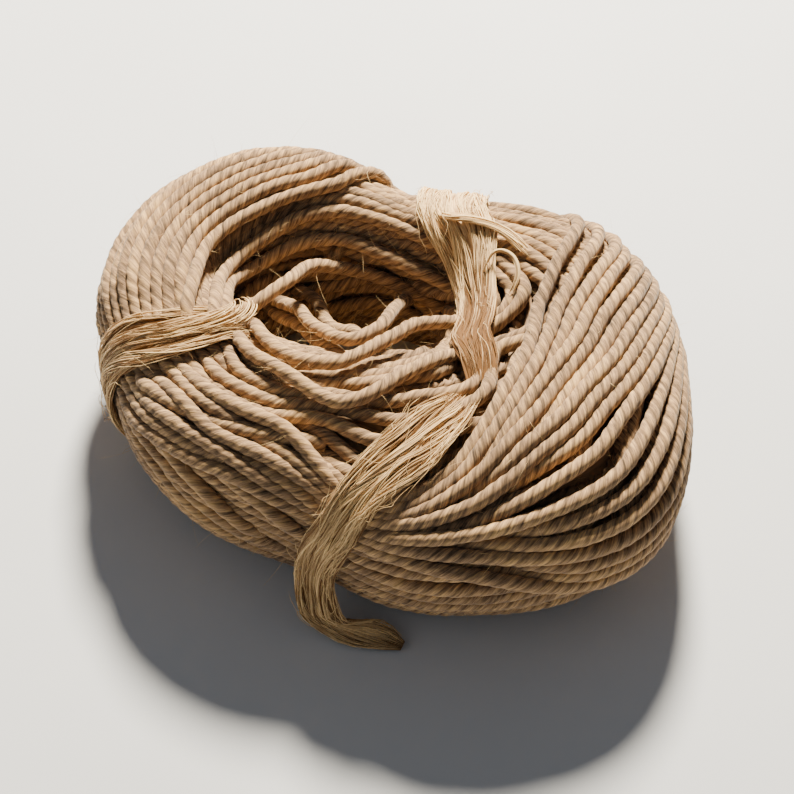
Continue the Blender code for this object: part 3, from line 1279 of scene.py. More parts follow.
    def lock(self, course: tuple, count: int, radius: float) -> None:
        """Adds a lock of fibres that leaves the tie.

        Args:
            course: rows along it.
            count: of fibres.
            radius: of the lock, in mm.
        """
        rng = self.rng
        line = self.tie.form.place(*(open_column(course, name, LOCK_STEPS)
                                     for name in ("angle", "around", "lift")))
        ahead = np.gradient(line, axis=0)
        ahead /= np.linalg.norm(ahead, axis=1, keepdims=True)
        side = np.cross(ahead, (0.0, 0.0, 1.0))
        side /= np.linalg.norm(side, axis=1, keepdims=True)
        up = np.cross(side, ahead)
        points = len(line)
        share = np.linspace(0.0, 1.0, points)
        for _ in range(count):
            out = radius * math.sqrt(rng.uniform(*LOCK.out))
            turn = rng.uniform(0.0, FULL_TURN) + share * rng.uniform(*LOCK.turning)
            open_end = 1.0 + LOCK.opening * share
            open_end = open_end + wander(rng, points, LOCK.unrest_every, LOCK.unrest)
            path = (line + side * (out * np.cos(turn) * open_end)[:, None]
                    + up * (out * LOCK.flat * np.sin(turn) * open_end)[:, None])
            kept = slice(int(rng.integers(0, points // LOCK.latest_start)),
                         points - int(rng.integers(0, points // LOCK.soonest_end)))
            taper = np.clip((1.0 - share) * LOCK.point, LOCK.thinnest, 1.0)
            taper = rng.uniform(*LOCK.thickness) * taper
            tone = rng.normal(LOCK.tint + 0.5 * self.look.tone, LOCK.tint_spread)
            self._add(path[kept], taper[kept], np.full(points, tone)[kept])

    def piece(self, thread: Thread, finish: Finish) -> Item:
        """Makes the fibres.

        Args:
            thread: the node tree for plain fibre.
            finish: the material.

        Returns:
            The object.
        """
        fields = {"taper": self.tapers, "tint": self.tints}
        item = polyline_object(f"{self.tie.name}_fibres", self.paths, fields)
        return thread.run(item, finish, FIBRE_RADIUS, FIBRE_SIDES)


# ------------------------------------------------------------------- the winding

def loose_lines(form: WoundForm) -> list:
    """Turns that lie apart from the rest.

    Args:
        form: the ball's form.

    Returns:
        For each, its angles round the eye and its rings of radius and level, in mm.
    """
    lines = []
    for course in LOOSE_TURNS.values():
        angle, radius, level = (open_column(course, name, LOOSE_STEPS)
                                for name in ("angle", "radius", "level"))
        lines.append((angle, np.stack([radius, level], axis=-1)))
    for course in RIM_TURNS.values():
        angle, around, lift = (open_column(course, name, LOOSE_STEPS)
                               for name in ("angle", "around", "lift"))
        lines.append((angle, form.ring(form.sizes(angle), around, lift)))
    return lines


def off_angle(angle: float | Array, middle: float | Array) -> Array:
    """Degrees from the middle to an angle, the short way round."""
    return (angle - middle + 180.0) % 360.0 - 180.0


def shove(places: Array, others: Array) -> Array:
    """How far each place is pushed off the others that lie closer than a string.

    Args:
        places: radius and level in mm, by turn and slice.
        others: the same of the turns that push.

    Returns:
        The push in mm, by turn and slice.
    """
    apart = places[:, None] - others[None, :]
    distance = np.linalg.norm(apart, axis=-1)
    press = np.clip(STRING.closest - distance, 0.0, None)
    return np.sum(apart * (press / np.maximum(distance, LEAST_APART))[..., None], axis=1)


class BallWinding:
    """All turns of the ball, settled against each other under its form."""

    def __init__(self, form: WoundForm, ties: list, windings: tuple) -> None:
        """Works out the layers' highest lifts and where the loose turns lie.

        Args:
            form: the ball's form.
            ties: its ties, which draw the turns in.
            windings: its layers, the last wound first.
        """
        self.form = form
        self.windings = windings
        self.angle = np.arange(SLICES) * 360.0 / SLICES
        self.seam = round(SEAM / 360.0 * SLICES)
        self.sizes = form.sizes(self.angle)
        self.low = round_table(FAN_ROWS, "low", self.angle)
        self.high = round_table(FAN_ROWS, "high", self.angle)
        self.loose_lines = loose_lines(form)
        self.loose = self._loose_rings()
        ends = np.cumsum([winding.turns for winding in windings])
        self.spans = [slice(end - winding.turns, end) for winding, end in zip(windings, ends)]
        self.bins = np.arange(0.0, 360.0, AROUND_STEP)
        grid = form.place(np.repeat(self.angle[:, None], len(self.bins), axis=1),
                          self.bins[None, :])
        self.groove = np.max([tie.groove_share(grid) for tie in ties], axis=0)
        self.floor = 0.5 * STRING.thickness + self.groove * (TIE.thickness + TIE.gap)
        under_fan, dip = self._under_fan(), self._dip()
        self.caps = [self._cap(winding, under_fan, dip) for winding in windings]

    def _under_fan(self) -> Array:
        """Where the fan covers the other layers.

        Returns:
            Share of its cover, by slice and entry round the section.
        """
        half = 0.5 * (self.high - self.low)[:, None]
        off = np.abs(off_angle(self.bins[None, :], 0.5 * (self.low + self.high)[:, None]))
        return np.clip((half - off) / UNDER_FAN_FADE, 0.0, 1.0)

    def _dip(self) -> Array:
        """Where the turns lie deeper.

        Returns:
            How much deeper in mm, by slice and entry round the section.
        """
        depth = np.zeros(self.groove.shape)
        for dip in DIPS:
            off = off_angle(self.angle[:, None], dip.angle)
            beside = off_angle(self.bins[None, :], dip.around)
            share = (off / dip.angle_reach) ** 2 + (beside / dip.around_reach) ** 2
            depth = np.maximum(depth, dip.depth * np.sqrt(np.clip(1.0 - share, 0.0, 1.0)))
        return depth

    def _cap(self, winding: Winding, under_fan: Array, dip: Array) -> Array:
        """Highest lift of a layer's turns, by slice and entry round the section.

        Args:
            winding: the layer.
            under_fan: share of the fan's cover.
            dip: how much deeper the turns lie.

        Returns:
            Lifts in mm.
        """
        cap = winding.cap + winding.cap_under_fan * under_fan - winding.dips * dip
        pressed = winding.pressed + winding.pressed_under_fan * under_fan
        return cap * (1.0 - self.groove) + pressed * self.groove

    def _look(self, table: Array, around: Array) -> Array:
        """Values of a lookup table at angles round the section.

        Args:
            table: values by slice and entry round the section.
            around: degrees, by turn and slice.

        Returns:
            The values, by turn and slice.
        """
        at = np.mod(around, 360.0) / AROUND_STEP
        low = np.floor(at).astype(int)
        part = at - low
        count = len(self.bins)
        slices = np.broadcast_to(np.arange(SLICES), around.shape)
        return table[slices, low % count] * (1 - part) + table[slices, (low + 1) % count] * part

    def _fan_course(self, at: Array, share: Array, reach: Array) -> tuple:
        """Where the fan's turns lie, and how much room they have.

        Args:
            at: slice of each point.
            share: of the layer that is wound at each point.
            reach: half width of the section at each point, in mm.

        Returns:
            Degrees round the section, and room as a share of what the turns need.
        """
        knots = np.linspace(0.0, 1.0, len(FAN_COLUMNS))
        around = guide(FAN_ROWS, FAN_COLUMNS, knots, self.angle[at], share)
        around += np.degrees(FAN_MARGIN / reach) * (1.0 - 2.0 * share)
        span = np.radians(self.high[at] - self.low[at])
        return around, span * reach / (FAN.turns * STRING.closest)

    def _outer_course(self, at: Array, share: Array, reach: Array) -> tuple:
        """Where the outer turns lie, and how much room they have.

        Args:
            at: slice of each point.
            share: of the layer that is wound at each point.
            reach: half width of the section at each point, in mm.

        Returns:
            Degrees round the section, and room as a share of what the turns need.
        """
        turned = OUTER_START - 360.0 + 360.0 * share
        top = float(OUTER_KNOTS[-1])
        swept, low, high = (
            guide(OUTER_ROWS, OUTER_COLUMNS, OUTER_KNOTS, self.angle[at], place)
            for place in (np.clip(turned, 0.0, top), np.zeros_like(turned),
                          np.full_like(turned, top)))
        below, above = 360.0 - OUTER_START, OUTER_START - top
        low_share = np.clip((turned + below) / below, 0.0, 1.0)
        high_share = np.clip((turned - top) / above, 0.0, 1.0)
        around = np.where(turned < 0.0, turned + low * low_share, swept)
        around = np.where(turned > top, turned + (high - top) * (1.0 - high_share), around)
        lap = 2.0 * np.pi * np.sqrt(reach * HALF_HEIGHT)
        return around, lap / (OUTER.turns * STRING.closest)

    def _course(self, winding: Winding) -> Array:
        """The course that each turn of a layer would take alone.

        Args:
            winding: the layer.

        Returns:
            Radius and level in mm, by turn and slice.
        """
        rng = np.random.default_rng(winding.seed)
        count = winding.turns * SLICES
        steps = np.arange(count)
        at = (self.seam + steps) % SLICES
        share = (steps + 0.5) / count
        sizes = tuple(size[at] for size in self.sizes)
        reach = 0.5 * (sizes[2] - sizes[0])
        if winding is FAN:
            around, room = self._fan_course(at, share, reach)
        elif winding is OUTER:
            around, room = self._outer_course(at, share, reach)
        else:
            around, room = INNER_START + 360.0 * share, 1.0
        layer = (steps // SLICES) % winding.stacked
        crowd = np.clip((1.0 / room - 1.0) / winding.crowded, 0.0, 1.0)
        lift = winding.lift - layer * winding.stack_depth * crowd
        sway = wander(rng, count, SIDEWAYS_POINTS, winding.sideways)
        around = around + np.degrees(sway / reach)
        lift = lift + wander(rng, count, UP_DOWN_POINTS, winding.up_down)
        ends = np.minimum(steps, count - 1 - steps)
        lift = lift - END_DIVE * np.clip(1.0 - ends / END_POINTS, 0.0, 1.0)
        return self._to_slices(self.form.ring(sizes, around, lift), winding)

    def _loose_rings(self) -> Array:
        """Places where the loose turns cross each slice, far off where they don't.

        Returns:
            Radius and level in mm, by turn and slice.
        """
        rings = []
        for angle, line in self.loose_lines:
            if angle[0] > angle[-1]:
                angle, line = angle[::-1], line[::-1]
            for turn in (0.0, 360.0):
                at = self.angle + turn
                inside = (at > angle[0]) & (at < angle[-1])
                ring = np.stack([np.interp(at, angle, values) for values in line.T], axis=-1)
                rings.append(np.where(inside[:, None], ring, ELSEWHERE))
        return np.array(rings)

    def _to_slices(self, path: Array, winding: Winding) -> Array:
        """A layer's points by turn and slice, from its path from first turn to last."""
        return np.roll(path.reshape(winding.turns, SLICES, 2), self.seam, axis=1)

    def _to_path(self, rings: Array) -> Array:
        """A layer's points as one path from its first turn to its last."""
        return np.roll(rings, -self.seam, axis=1).reshape(-1, 2)

    def settle(self) -> list:
        """Lets the turns push each other aside under the form.

        Returns:
            For each layer, its path in mm from its first turn to its last.
        """
        course = np.concatenate([self._course(winding) for winding in self.windings])
        place = course.copy()
        for _ in range(SETTLE_ROUNDS):
            place += PULL * (course - place)
            push = 0.5 * shove(place, place) + shove(place, self.loose)
            place += np.clip(PUSH * push, -MOST_PUSH, MOST_PUSH)
            self._smooth(place, course, SMOOTH_PASSES)
            self._hold(place)
        self._smooth(place, course, LAST_PASSES)
        place[..., 1] = np.maximum(place[..., 1], 0.5 * STRING.thickness)
        paths = []
        for span in self.spans:
            path = self._to_path(place[span])
            at = (self.seam + np.arange(len(path))) % SLICES
            paths.append(place_ring(self.angle[at], path))
        return paths

    def _smooth(self, place: Array, course: Array, passes: int) -> None:
        """Evens out how far the turns have moved, along each layer's path.

        Args:
            place: where the turns lie, by turn and slice, which is changed.
            course: where they would lie alone.
            passes: how often.
        """
        for winding, span in zip(self.windings, self.spans):
            moved = self._to_path(place[span] - course[span])
            for _ in range(passes):
                beside = 0.5 * (np.roll(moved, 1, axis=0) + np.roll(moved, -1, axis=0))
                beside[0], beside[-1] = moved[0], moved[-1]
                moved += SMOOTH * (beside - moved)
            place[span] = course[span] + self._to_slices(moved, winding)

    def _hold(self, place: Array) -> None:
        """Keeps the turns under the form, under the ties and over the floor.

        Args:
            place: where the turns lie, by turn and slice, which is changed.
        """
        for cap_table, span in zip(self.caps, self.spans):
            part = place[span]
            around, lift = self.form.unwrap(self.sizes, part)
            cap = self._look(cap_table, around)
            held = self.form.ring(self.sizes, around, np.minimum(lift, cap))
            over = (lift > cap)[..., None]
            part += np.where(over, held - part, 0.0)
            floor = self._look(self.floor, around)
            part[..., 1] = np.maximum(part[..., 1], floor)


# ------------------------------------------------------------ node tree helpers

class Nodes:
    """A node tree with short calls to add nodes and join them."""

    def __init__(self, tree: bpy.types.NodeTree) -> None:
        """Keeps the tree.

        Args:
            tree: the node tree to fill.
        """
        self.tree = tree

    def add(self, kind: str, settings: dict | None = None, **inputs: object) -> bpy.types.Node:
        """Adds a node.

        Args:
            kind: the node's type name.
            settings: its properties by name.
            inputs: numbers or sockets by the input's name, spaces as underscores, or by
                its number after in_.

        Returns:
            The node.
        """
        node = self.tree.nodes.new(kind)
        for name, value in (settings or {}).items():
            setattr(node, name, value)
        for name, value in inputs.items():
            socket = int(name[3:]) if name.startswith("in_") else name.replace("_", " ")
            self.feed(node, socket, value)
        return node

    def feed(self, node: bpy.types.Node, name: str | int, value: object) -> None:
        """Gives a node's input a number, or joins a socket to it."""
        socket = node.inputs[name]
        if isinstance(value, bpy.types.NodeSocket):
            self.tree.links.new(value, socket)
        else:
            socket.default_value = value

    def math(self, operation: str, *values: object) -> bpy.types.NodeSocket:
        """Adds a Math node.

        Args:
            operation: what it does.
            values: numbers or sockets.

        Returns:
            The socket of its result.
        """
        node = self.add("ShaderNodeMath", {"operation": operation})
        for index, value in enumerate(values):
            self.feed(node, index, value)
        return node.outputs[0]

    def store(self, geometry: bpy.types.NodeSocket, name: str, value: object,
              kind: str = "FLOAT") -> bpy.types.NodeSocket:
        """Geometry whose points keep a value under a name."""
        return self.add("GeometryNodeStoreNamedAttribute",
                        {"data_type": kind, "domain": "POINT"}, Geometry=geometry,
                        Name=name, Value=value).outputs["Geometry"]

    def read(self, name: str, output: str = "Fac") -> bpy.types.NodeSocket:
        """Socket of a value that a piece's points keep."""
        return self.add("ShaderNodeAttribute", {"attribute_name": name}).outputs[output]

    def noise(self, detail: float, scale: float = 1.0, roughness: float = 0.5,
              **place: object) -> bpy.types.NodeSocket:
        """Socket of a noise pattern, over a Vector in space or over W along a line.

        Args:
            detail: of the pattern.
            scale: repeats for each unit of the place.
            roughness: how strong its fine detail is.
            place: Vector or W.

        Returns:
            The socket, about 0.5 on average.
        """
        size = "1D" if "W" in place else "3D"
        return self.add("ShaderNodeTexNoise", {"noise_dimensions": size}, Scale=scale,
                        Detail=detail, Roughness=roughness, **place).outputs["Fac"]

    def ramp(self, share: bpy.types.NodeSocket, stops: tuple) -> bpy.types.NodeSocket:
        """Colour socket of a ramp.

        Args:
            share: socket that drives the ramp.
            stops: pairs of position and colour.

        Returns:
            The socket.
        """
        node = self.add("ShaderNodeValToRGB", in_0=share)
        ramp = node.color_ramp
        while len(ramp.elements) < len(stops):
            ramp.elements.new(0.5)
        for element, (position, colour) in zip(ramp.elements, stops):
            element.position = position
            element.color = colour
        return node.outputs["Color"]


# ----------------------------------------------------------------- string pieces

class Thread:
    """Geometry Nodes that make laid string, or plain fibre, along polylines."""

    inputs = {"Step": "NodeSocketFloat", "Radius": "NodeSocketFloat",
              "Lay": "NodeSocketFloat", "Points": "NodeSocketInt",
              "Finish": "NodeSocketMaterial"}

    def __init__(self, name: str, laid: bool) -> None:
        """Builds the node tree.

        Args:
            name: the node tree's name.
            laid: True for laid string, False for plain fibre.
        """
        self.tree = bpy.data.node_groups.new(name, "GeometryNodeTree")
        face = self.tree.interface
        face.new_socket("Geometry", in_out="INPUT", socket_type="NodeSocketGeometry")
        self.sockets = {
            label: face.new_socket(label, in_out="INPUT", socket_type=kind).identifier
            for label, kind in self.inputs.items()}
        face.new_socket("Geometry", in_out="OUTPUT", socket_type="NodeSocketGeometry")
        self._build(Nodes(self.tree), laid)

    def _build(self, nodes: Nodes, laid: bool) -> None:
        """Joins the nodes: a ring that keeps its pattern is swept along the lines.

        Args:
            nodes: the tree.
            laid: True for laid string, False for plain fibre.
        """
        given = nodes.add("NodeGroupInput").outputs
        line = nodes.add("GeometryNodeMeshToCurve", Mesh=given["Geometry"]).outputs["Curve"]
        if laid:
            line = nodes.add("GeometryNodeResampleCurve", {"mode": "LENGTH"}, Curve=line,
                             Length=given["Step"]).outputs["Curve"]
        run = nodes.add("GeometryNodeSplineParameter").outputs["Length"]
        line = nodes.store(line, "along", run)
        ring = nodes.add("GeometryNodeCurvePrimitiveCircle", Resolution=given["Points"],
                         Radius=1.0).outputs["Curve"]
        place = nodes.add("GeometryNodeInputPosition").outputs["Position"]
        ring = nodes.store(ring, "turning", place, "FLOAT_VECTOR")
        if laid:
            swell = nodes.noise(STRING.swell_detail,
                                W=nodes.math("MULTIPLY", run, STRING.swell_rate))
            swell = nodes.math("MULTIPLY_ADD", swell, STRING.swelling, STRING.thinnest)
            scale = nodes.math("MULTIPLY", given["Radius"], swell)
            turns = nodes.math("DIVIDE", run, given["Lay"])
            line = nodes.add("GeometryNodeSetCurveTilt", Curve=line,
                             Tilt=nodes.math("MULTIPLY", turns, FULL_TURN)).outputs["Curve"]
            index = nodes.add("GeometryNodeInputIndex").outputs["Index"]
            turn = nodes.math("MULTIPLY", index, STRING.plies * math.pi)
            turn = nodes.math("DIVIDE", turn, given["Points"])
            lobe = nodes.math("ABSOLUTE", nodes.math("COSINE", turn))
            ring = nodes.store(ring, "lobe", lobe)
            shrink = nodes.math("MULTIPLY_ADD", lobe, STRING.ply_valley,
                                1.0 - STRING.ply_valley)
            bulged = nodes.add("ShaderNodeVectorMath", {"operation": "SCALE"}, in_0=place,
                               Scale=shrink).outputs["Vector"]
            ring = nodes.add("GeometryNodeSetPosition", Geometry=ring,
                             Position=bulged).outputs["Geometry"]
        else:
            taper = nodes.add("GeometryNodeInputNamedAttribute", {"data_type": "FLOAT"},
                              Name="taper").outputs["Attribute"]
            scale = nodes.math("MULTIPLY", given["Radius"], taper)
        tube = nodes.add("GeometryNodeCurveToMesh", Curve=line, Profile_Curve=ring,
                         Scale=scale, Fill_Caps=True)
        smooth = nodes.add("GeometryNodeSetShadeSmooth", Geometry=tube.outputs["Mesh"])
        whole = nodes.add("GeometryNodeRealizeInstances",
                          Geometry=smooth.outputs["Geometry"]).outputs["Geometry"]
        finish = nodes.add("GeometryNodeSetMaterial", Geometry=whole, Material=given["Finish"])
        nodes.add("NodeGroupOutput", in_0=finish.outputs["Geometry"])

    def run(self, item: Item, finish: Finish, radius: float, points: int, step: float = 1.0,
            lay: float = 1.0) -> Item:
        """Makes the thread along an object's polylines and bakes it.

        Args:
            item: the object with the polylines.
            finish: the material.
            radius: of the thread, in mm.
            points: round the thread.
            step: between two rings of points, in mm.
            lay: length of one turn of the plies, in mm.

        Returns:
            The object, now a plain mesh.
        """
        modifier = item.modifiers.new("thread", "NODES")
        modifier.node_group = self.tree
        values = {"Step": step * MM, "Radius": radius * MM, "Lay": lay * MM,
                  "Points": points, "Finish": finish}
        for label, value in values.items():
            modifier[self.sockets[label]] = value
        bake(item)
        if not item.data.materials:
            item.data.materials.append(finish)
        return item


# --------------------------------------------------------------------- finishes

class JuteTone(Enum):
    """Base colours of the string and its fibres, scene linear."""

    DEEP = (0.10, 0.063, 0.037, 1.0)
    TAN = (0.33, 0.205, 0.112, 1.0)
    PALE = (0.70, 0.440, 0.190, 1.0)
    GOLD = (0.56, 0.36, 0.175, 1.0)
    STRAW = (0.93, 0.67, 0.33, 1.0)
    RUST = (0.15, 0.060, 0.007, 1.0)


@dataclass(frozen=True)
class Pattern:
    """One pattern of jute: its share of the tone, its detail and how strong that is."""

    share: float
    detail: float
    roughness: float = 0.5


@dataclass(frozen=True)
class JuteGrain:
    """What the tone of jute is made of: its patterns and their sizes."""

    fibre: Pattern = Pattern(0.78, 4.0, 0.7)     # streaks of single fibres
    blotch: Pattern = Pattern(0.30, 2.0)         # spots along a ply
    slow: Pattern = Pattern(0.25, 3.0, 0.6)      # from one stretch of string to the next
    patch: Pattern = Pattern(0.12, 2.0)          # over the whole ball
    darker: float = 0.195         # taken off their sum, so that the mean tone stays
    blotch_length: float = 0.9    # share of a streak's length
    slow_rate: float = 11.0       # changes for each metre of string
    patch_rate: float = 22.0      # changes for each metre across the ball
    stops: tuple = (0.38, 0.53, 0.70)
    valley_shade_top: float = 0.75      # share of a ply's height where the painted valley shade ends
    rough_swing: float = 0.18
    shine: float = 0.28
    sheen: float = 0.12
    sheen_roughness: float = 0.45
    bump: float = 0.8


GRAIN = JuteGrain()


@dataclass(frozen=True)
class JuteFinish:
    """Matt plant fibre: streaks along the thread, tone from turn to turn, and painted shade in
    the valleys between plies.
    """

    name: str
    tones: tuple                  # dark, middle and light
    streak: float                 # length of a streak, mm
    fineness: float               # streaks for each radius of the thread
    valley: float                 # painted shade in the valleys between plies, as a tone, 1 for none
    relief: float                 # height of the fibres' relief, mm
    roughness: float

    def material(self) -> Finish:
        """Builds the material.

        Returns:
            The material, which reads the attributes along, turning, lobe and tint.
        """
        material, nodes, shader = new_material(self.name)
        along, lobe, tint = (nodes.read(name) for name in ("along", "lobe", "tint"))
        split = nodes.add("ShaderNodeSeparateXYZ", Vector=nodes.read("turning", "Vector"))
        fibre = self._streaks(nodes, split, along, self.fineness, self.streak, GRAIN.fibre)
        blotch = self._streaks(nodes, split, along, 1.0, GRAIN.blotch_length * self.streak,
                               GRAIN.blotch)
        slow = nodes.noise(GRAIN.slow.detail, roughness=GRAIN.slow.roughness,
                           W=nodes.math("MULTIPLY", along, GRAIN.slow_rate))
        place = nodes.add("ShaderNodeTexCoord").outputs["Object"]
        patch = nodes.noise(GRAIN.patch.detail, GRAIN.patch_rate, GRAIN.patch.roughness,
                            Vector=place)
        tone = nodes.math("SUBTRACT", tint, GRAIN.darker)
        for value, pattern in ((fibre, GRAIN.fibre), (blotch, GRAIN.blotch),
                               (slow, GRAIN.slow), (patch, GRAIN.patch)):
            tone = nodes.math("MULTIPLY_ADD", value, pattern.share, tone)
        colour = nodes.ramp(tone, tuple(zip(GRAIN.stops, (one.value for one in self.tones))))
        # painted shade: the colour darkens towards the valleys between plies, where shade falls
        valley_shade = nodes.add("ShaderNodeMapRange", Value=lobe, From_Min=0.0,
                         From_Max=GRAIN.valley_shade_top, To_Min=self.valley,
                         To_Max=1.0).outputs["Result"]
        shaded_colour = nodes.add("ShaderNodeMix", {"data_type": "RGBA", "blend_type": "MULTIPLY"},
                             in_0=1.0, in_6=colour, in_7=valley_shade)
        rough = nodes.math("MULTIPLY_ADD", fibre, GRAIN.rough_swing,
                           self.roughness - 0.5 * GRAIN.rough_swing)
        bump = nodes.add("ShaderNodeBump", Height=fibre, Strength=GRAIN.bump,
                         Distance=self.relief * MM)
        for name, value in (("Base Color", shaded_colour.outputs[2]), ("Roughness", rough),
                            ("Specular IOR Level", GRAIN.shine),
                            ("Sheen Weight", GRAIN.sheen),
                            ("Sheen Roughness", GRAIN.sheen_roughness),
                            ("Normal", bump.outputs["Normal"])):
            nodes.feed(shader, name, value)
        return material

    def _streaks(self, nodes: Nodes, split: bpy.types.Node, along: bpy.types.NodeSocket,
                 fineness: float, length: float, pattern: Pattern) -> bpy.types.NodeSocket:
        """Pattern that is stretched along the thread.

        Args:
            nodes: the material's nodes.
            split: node with the place in the thread's section.
            along: socket of the place along the thread.
            fineness: streaks for each unit of the section.
            length: of a streak, in mm.
            pattern: its detail.

        Returns:
            Its socket.
        """
        across = {axis: nodes.math("MULTIPLY", split.outputs[axis], fineness)
                  for axis in ("X", "Y")}
        place = nodes.add("ShaderNodeCombineXYZ", **across,
                          Z=nodes.math("MULTIPLY", along, 1.0 / (length * MM)))
        return nodes.noise(pattern.detail, roughness=pattern.roughness,
                           Vector=place.outputs["Vector"])


# The third number of each finish is its painted shade in the ply valleys, 1 for none.
STRING_FINISH = JuteFinish("jute_string", (JuteTone.DEEP, JuteTone.TAN, JuteTone.PALE),
                           5.0, 3.0, 0.48, 0.42, 0.90)
# painted shade: a darker copy of the string's finish, with no pale tone, for the inner turns
# and the surface between them
SHADED_STRING_FINISH = JuteFinish("jute_deep", (JuteTone.DEEP, JuteTone.TAN, JuteTone.TAN),
                         5.0, 3.0, 0.50, 0.42, 0.9)
TIE_FINISH = JuteFinish("jute_fibre", (JuteTone.RUST, JuteTone.GOLD, JuteTone.STRAW),
                        9.0, 2.0, 1.0, 0.25, 0.74)
HAIR_FINISH = JuteFinish("jute_hair", (JuteTone.TAN, JuteTone.GOLD, JuteTone.STRAW),
                         4.0, 1.0, 1.0, 0.05, 0.7)


@dataclass(frozen=True)
class FloorFinish:
    """Plain pale paper under the ball."""

    name: str = "pale_floor"
    colour: tuple = (0.60, 0.62, 0.66, 1.0)
    second: tuple = (0.57, 0.59, 0.63, 1.0)
    rate: float = 6.0             # changes for each metre
    detail: float = 4.0
    stops: tuple = (0.35, 0.65)
    roughness: float = 0.9

    def material(self) -> Finish:
        """Builds the material.

        Returns:
            The material.
        """
        material, nodes, shader = new_material(self.name)
        grain = nodes.noise(self.detail, self.rate,
                            Vector=nodes.add("ShaderNodeTexCoord").outputs["Object"])
        stops = tuple(zip(self.stops, (self.second, self.colour)))
        nodes.feed(shader, "Base Color", nodes.ramp(grain, stops))
        nodes.feed(shader, "Roughness", self.roughness)
        return material


def new_material(name: str) -> tuple:
    """A new material.

    Args:
        name: its name.

    Returns:
        The material, its nodes and its shader.
    """
    material = bpy.data.materials.new(name)
    material.use_nodes = True
    return material, Nodes(material.node_tree), material.node_tree.nodes["Principled BSDF"]


# ----------------------------------------------------------------------- pieces

def make_turns(form: WoundForm, ties: list, thread: Thread) -> tuple:
    """Winds the ball.

    Args:
        form: the ball's form.
        ties: its ties.
        thread: the node tree for laid string.

    Returns:
        Pieces of string by name, and the lines of the turns that show.
    """
    winding = BallWinding(form, ties, (FAN, OUTER, INNER))
    fan, outer, inner = winding.settle()
    loose = [place_ring(angle, ring) for angle, ring in winding.loose_lines]
    courses = {"fan": [fan]}
    for number, part in enumerate(np.array_split(np.arange(len(outer)), OUTER_PIECES)):
        courses[f"outer_{number + 1}"] = [outer[part[0]:part[-1] + 2]]
    courses["loose"] = loose
    size = {"radius": 0.5 * STRING.thickness, "lay": STRING.lay}
    finish, shaded = STRING_FINISH.material(), SHADED_STRING_FINISH.material()
    pieces = {
        name: thread.run(polyline_object(f"turns_{name}", lines), finish, **size,
                         points=STRING.fine_points, step=STRING.fine_step)
        for name, lines in courses.items()}
    # painted shade: the inner turns and the surface between the turns take the shaded copy of
    # the string's finish
    pieces["inner"] = thread.run(polyline_object("turns_inner", [inner]), shaded, **size,
                                 points=STRING.coarse_points, step=STRING.coarse_step)
    pieces["under"] = make_under(form, winding, shaded)
    return pieces, [fan, outer] + loose


def make_under(form: WoundForm, winding: BallWinding, finish: Finish) -> Item:
    """The string that shows between the turns, as one ridged surface inside them, in painted
    shade.

    Args:
        form: the ball's form.
        winding: its turns.
        finish: the material.

    Returns:
        The object.
    """
    bins = winding.bins
    angle = np.repeat(winding.angle[::UNDER.every, None], len(bins), axis=1)
    turn = np.radians(bins)
    ridge = np.abs(np.sin(turn * UNDER.ridges / 2.0))[None, :]
    deepest = winding.caps[-1][::UNDER.every]
    lift = np.minimum(UNDER.lift, deepest - UNDER.below) + UNDER.ridge * ridge
    points = form.place(angle, bins[None, :], lift)
    points[..., 2] = np.maximum(points[..., 2], UNDER.lowest)
    number = np.arange(angle.size).reshape(angle.shape)
    after, beside = np.roll(number, -1, axis=0), np.roll(number, -1, axis=1)
    both = np.roll(after, -1, axis=1)
    faces = np.stack([number, after, both, beside], axis=-1).reshape(-1, 4)
    turning = np.stack([np.cos(turn), np.sin(turn), np.zeros_like(turn)], axis=-1)
    fields = {"along": (np.radians(angle) * UNDER.along * MM).ravel(),
              "turning": np.tile(turning * UNDER.across, (len(angle), 1)),
              "lobe": np.tile(ridge.ravel(), len(angle))}
    return mesh_object("turns_under", points.reshape(-1, 3), faces, fields, finish)


def unit(vector: Array) -> Array:
    """A vector of length 1."""
    return vector / np.linalg.norm(vector)


def make_hairs(lines: list, thread: Thread) -> Item:
    """Hairs that stand off the string.

    Args:
        lines: paths of the turns that show, in mm.
        thread: the node tree for plain fibre.

    Returns:
        The object.
    """
    rng = np.random.default_rng(HAIR.seed)
    weights = np.array([len(line) for line in lines], dtype=float)
    paths, tapers, tints = [], [], []
    share = np.linspace(0.0, 1.0, HAIR.points)
    for _ in range(HAIR.count):
        line = lines[int(rng.choice(len(lines), p=weights / weights.sum()))]
        at = int(rng.integers(1, len(line) - 1))
        ahead = unit(line[at + 1] - line[at - 1])
        aside = rng.normal(size=3)
        aside = unit(aside - ahead * aside.dot(ahead))
        root = line[at] + aside * HAIR.root * STRING.thickness
        heading = unit(aside * rng.uniform(*HAIR.aside) + ahead * rng.normal(0.0, HAIR.along))
        bend = rng.normal(size=3) * HAIR.bend
        more = (HAIR.longest - HAIR.shortest) * rng.random() ** HAIR.shortness
        curl = heading * share[:, None] + bend * share[:, None] ** 2
        points = root + (HAIR.shortest + more) * curl
        points[:, 2] = np.maximum(points[:, 2], HAIR.radius)
        paths.append(points)
        tapers.append(rng.uniform(*HAIR.thickness) * (1.0 - HAIR.taper * share))
        tints.append(np.full(HAIR.points, rng.normal(HAIR.tint, HAIR.tint_spread)))
    item = polyline_object("hairs", paths, {"taper": tapers, "tint": tints})
    return thread.run(item, HAIR_FINISH.material(), HAIR.radius, HAIR_SIDES)


def make_ties(ties: list, thread: Thread) -> dict:
    """Ties of loose fibre, each a band that stands for its node and the fibres over it.

    Args:
        ties: where they lie.
        thread: the node tree for plain fibre.

    Returns:
        Pairs of band and fibres by the tie's name.
    """
    finish = TIE_FINISH.material()
    pieces = {}
    for tie in ties:
        fibres = FibreLock(tie, LOCKS[tie.name])
        fibres.lay()
        fibres.stray()
        for course, count, radius in LOOSE_LOCKS[tie.name]:
            fibres.lock(course, count, radius)
        pieces[tie.name] = (fibres.band(finish), fibres.piece(thread, finish))
    return pieces


# ----------------------------------------------------------------------- studio

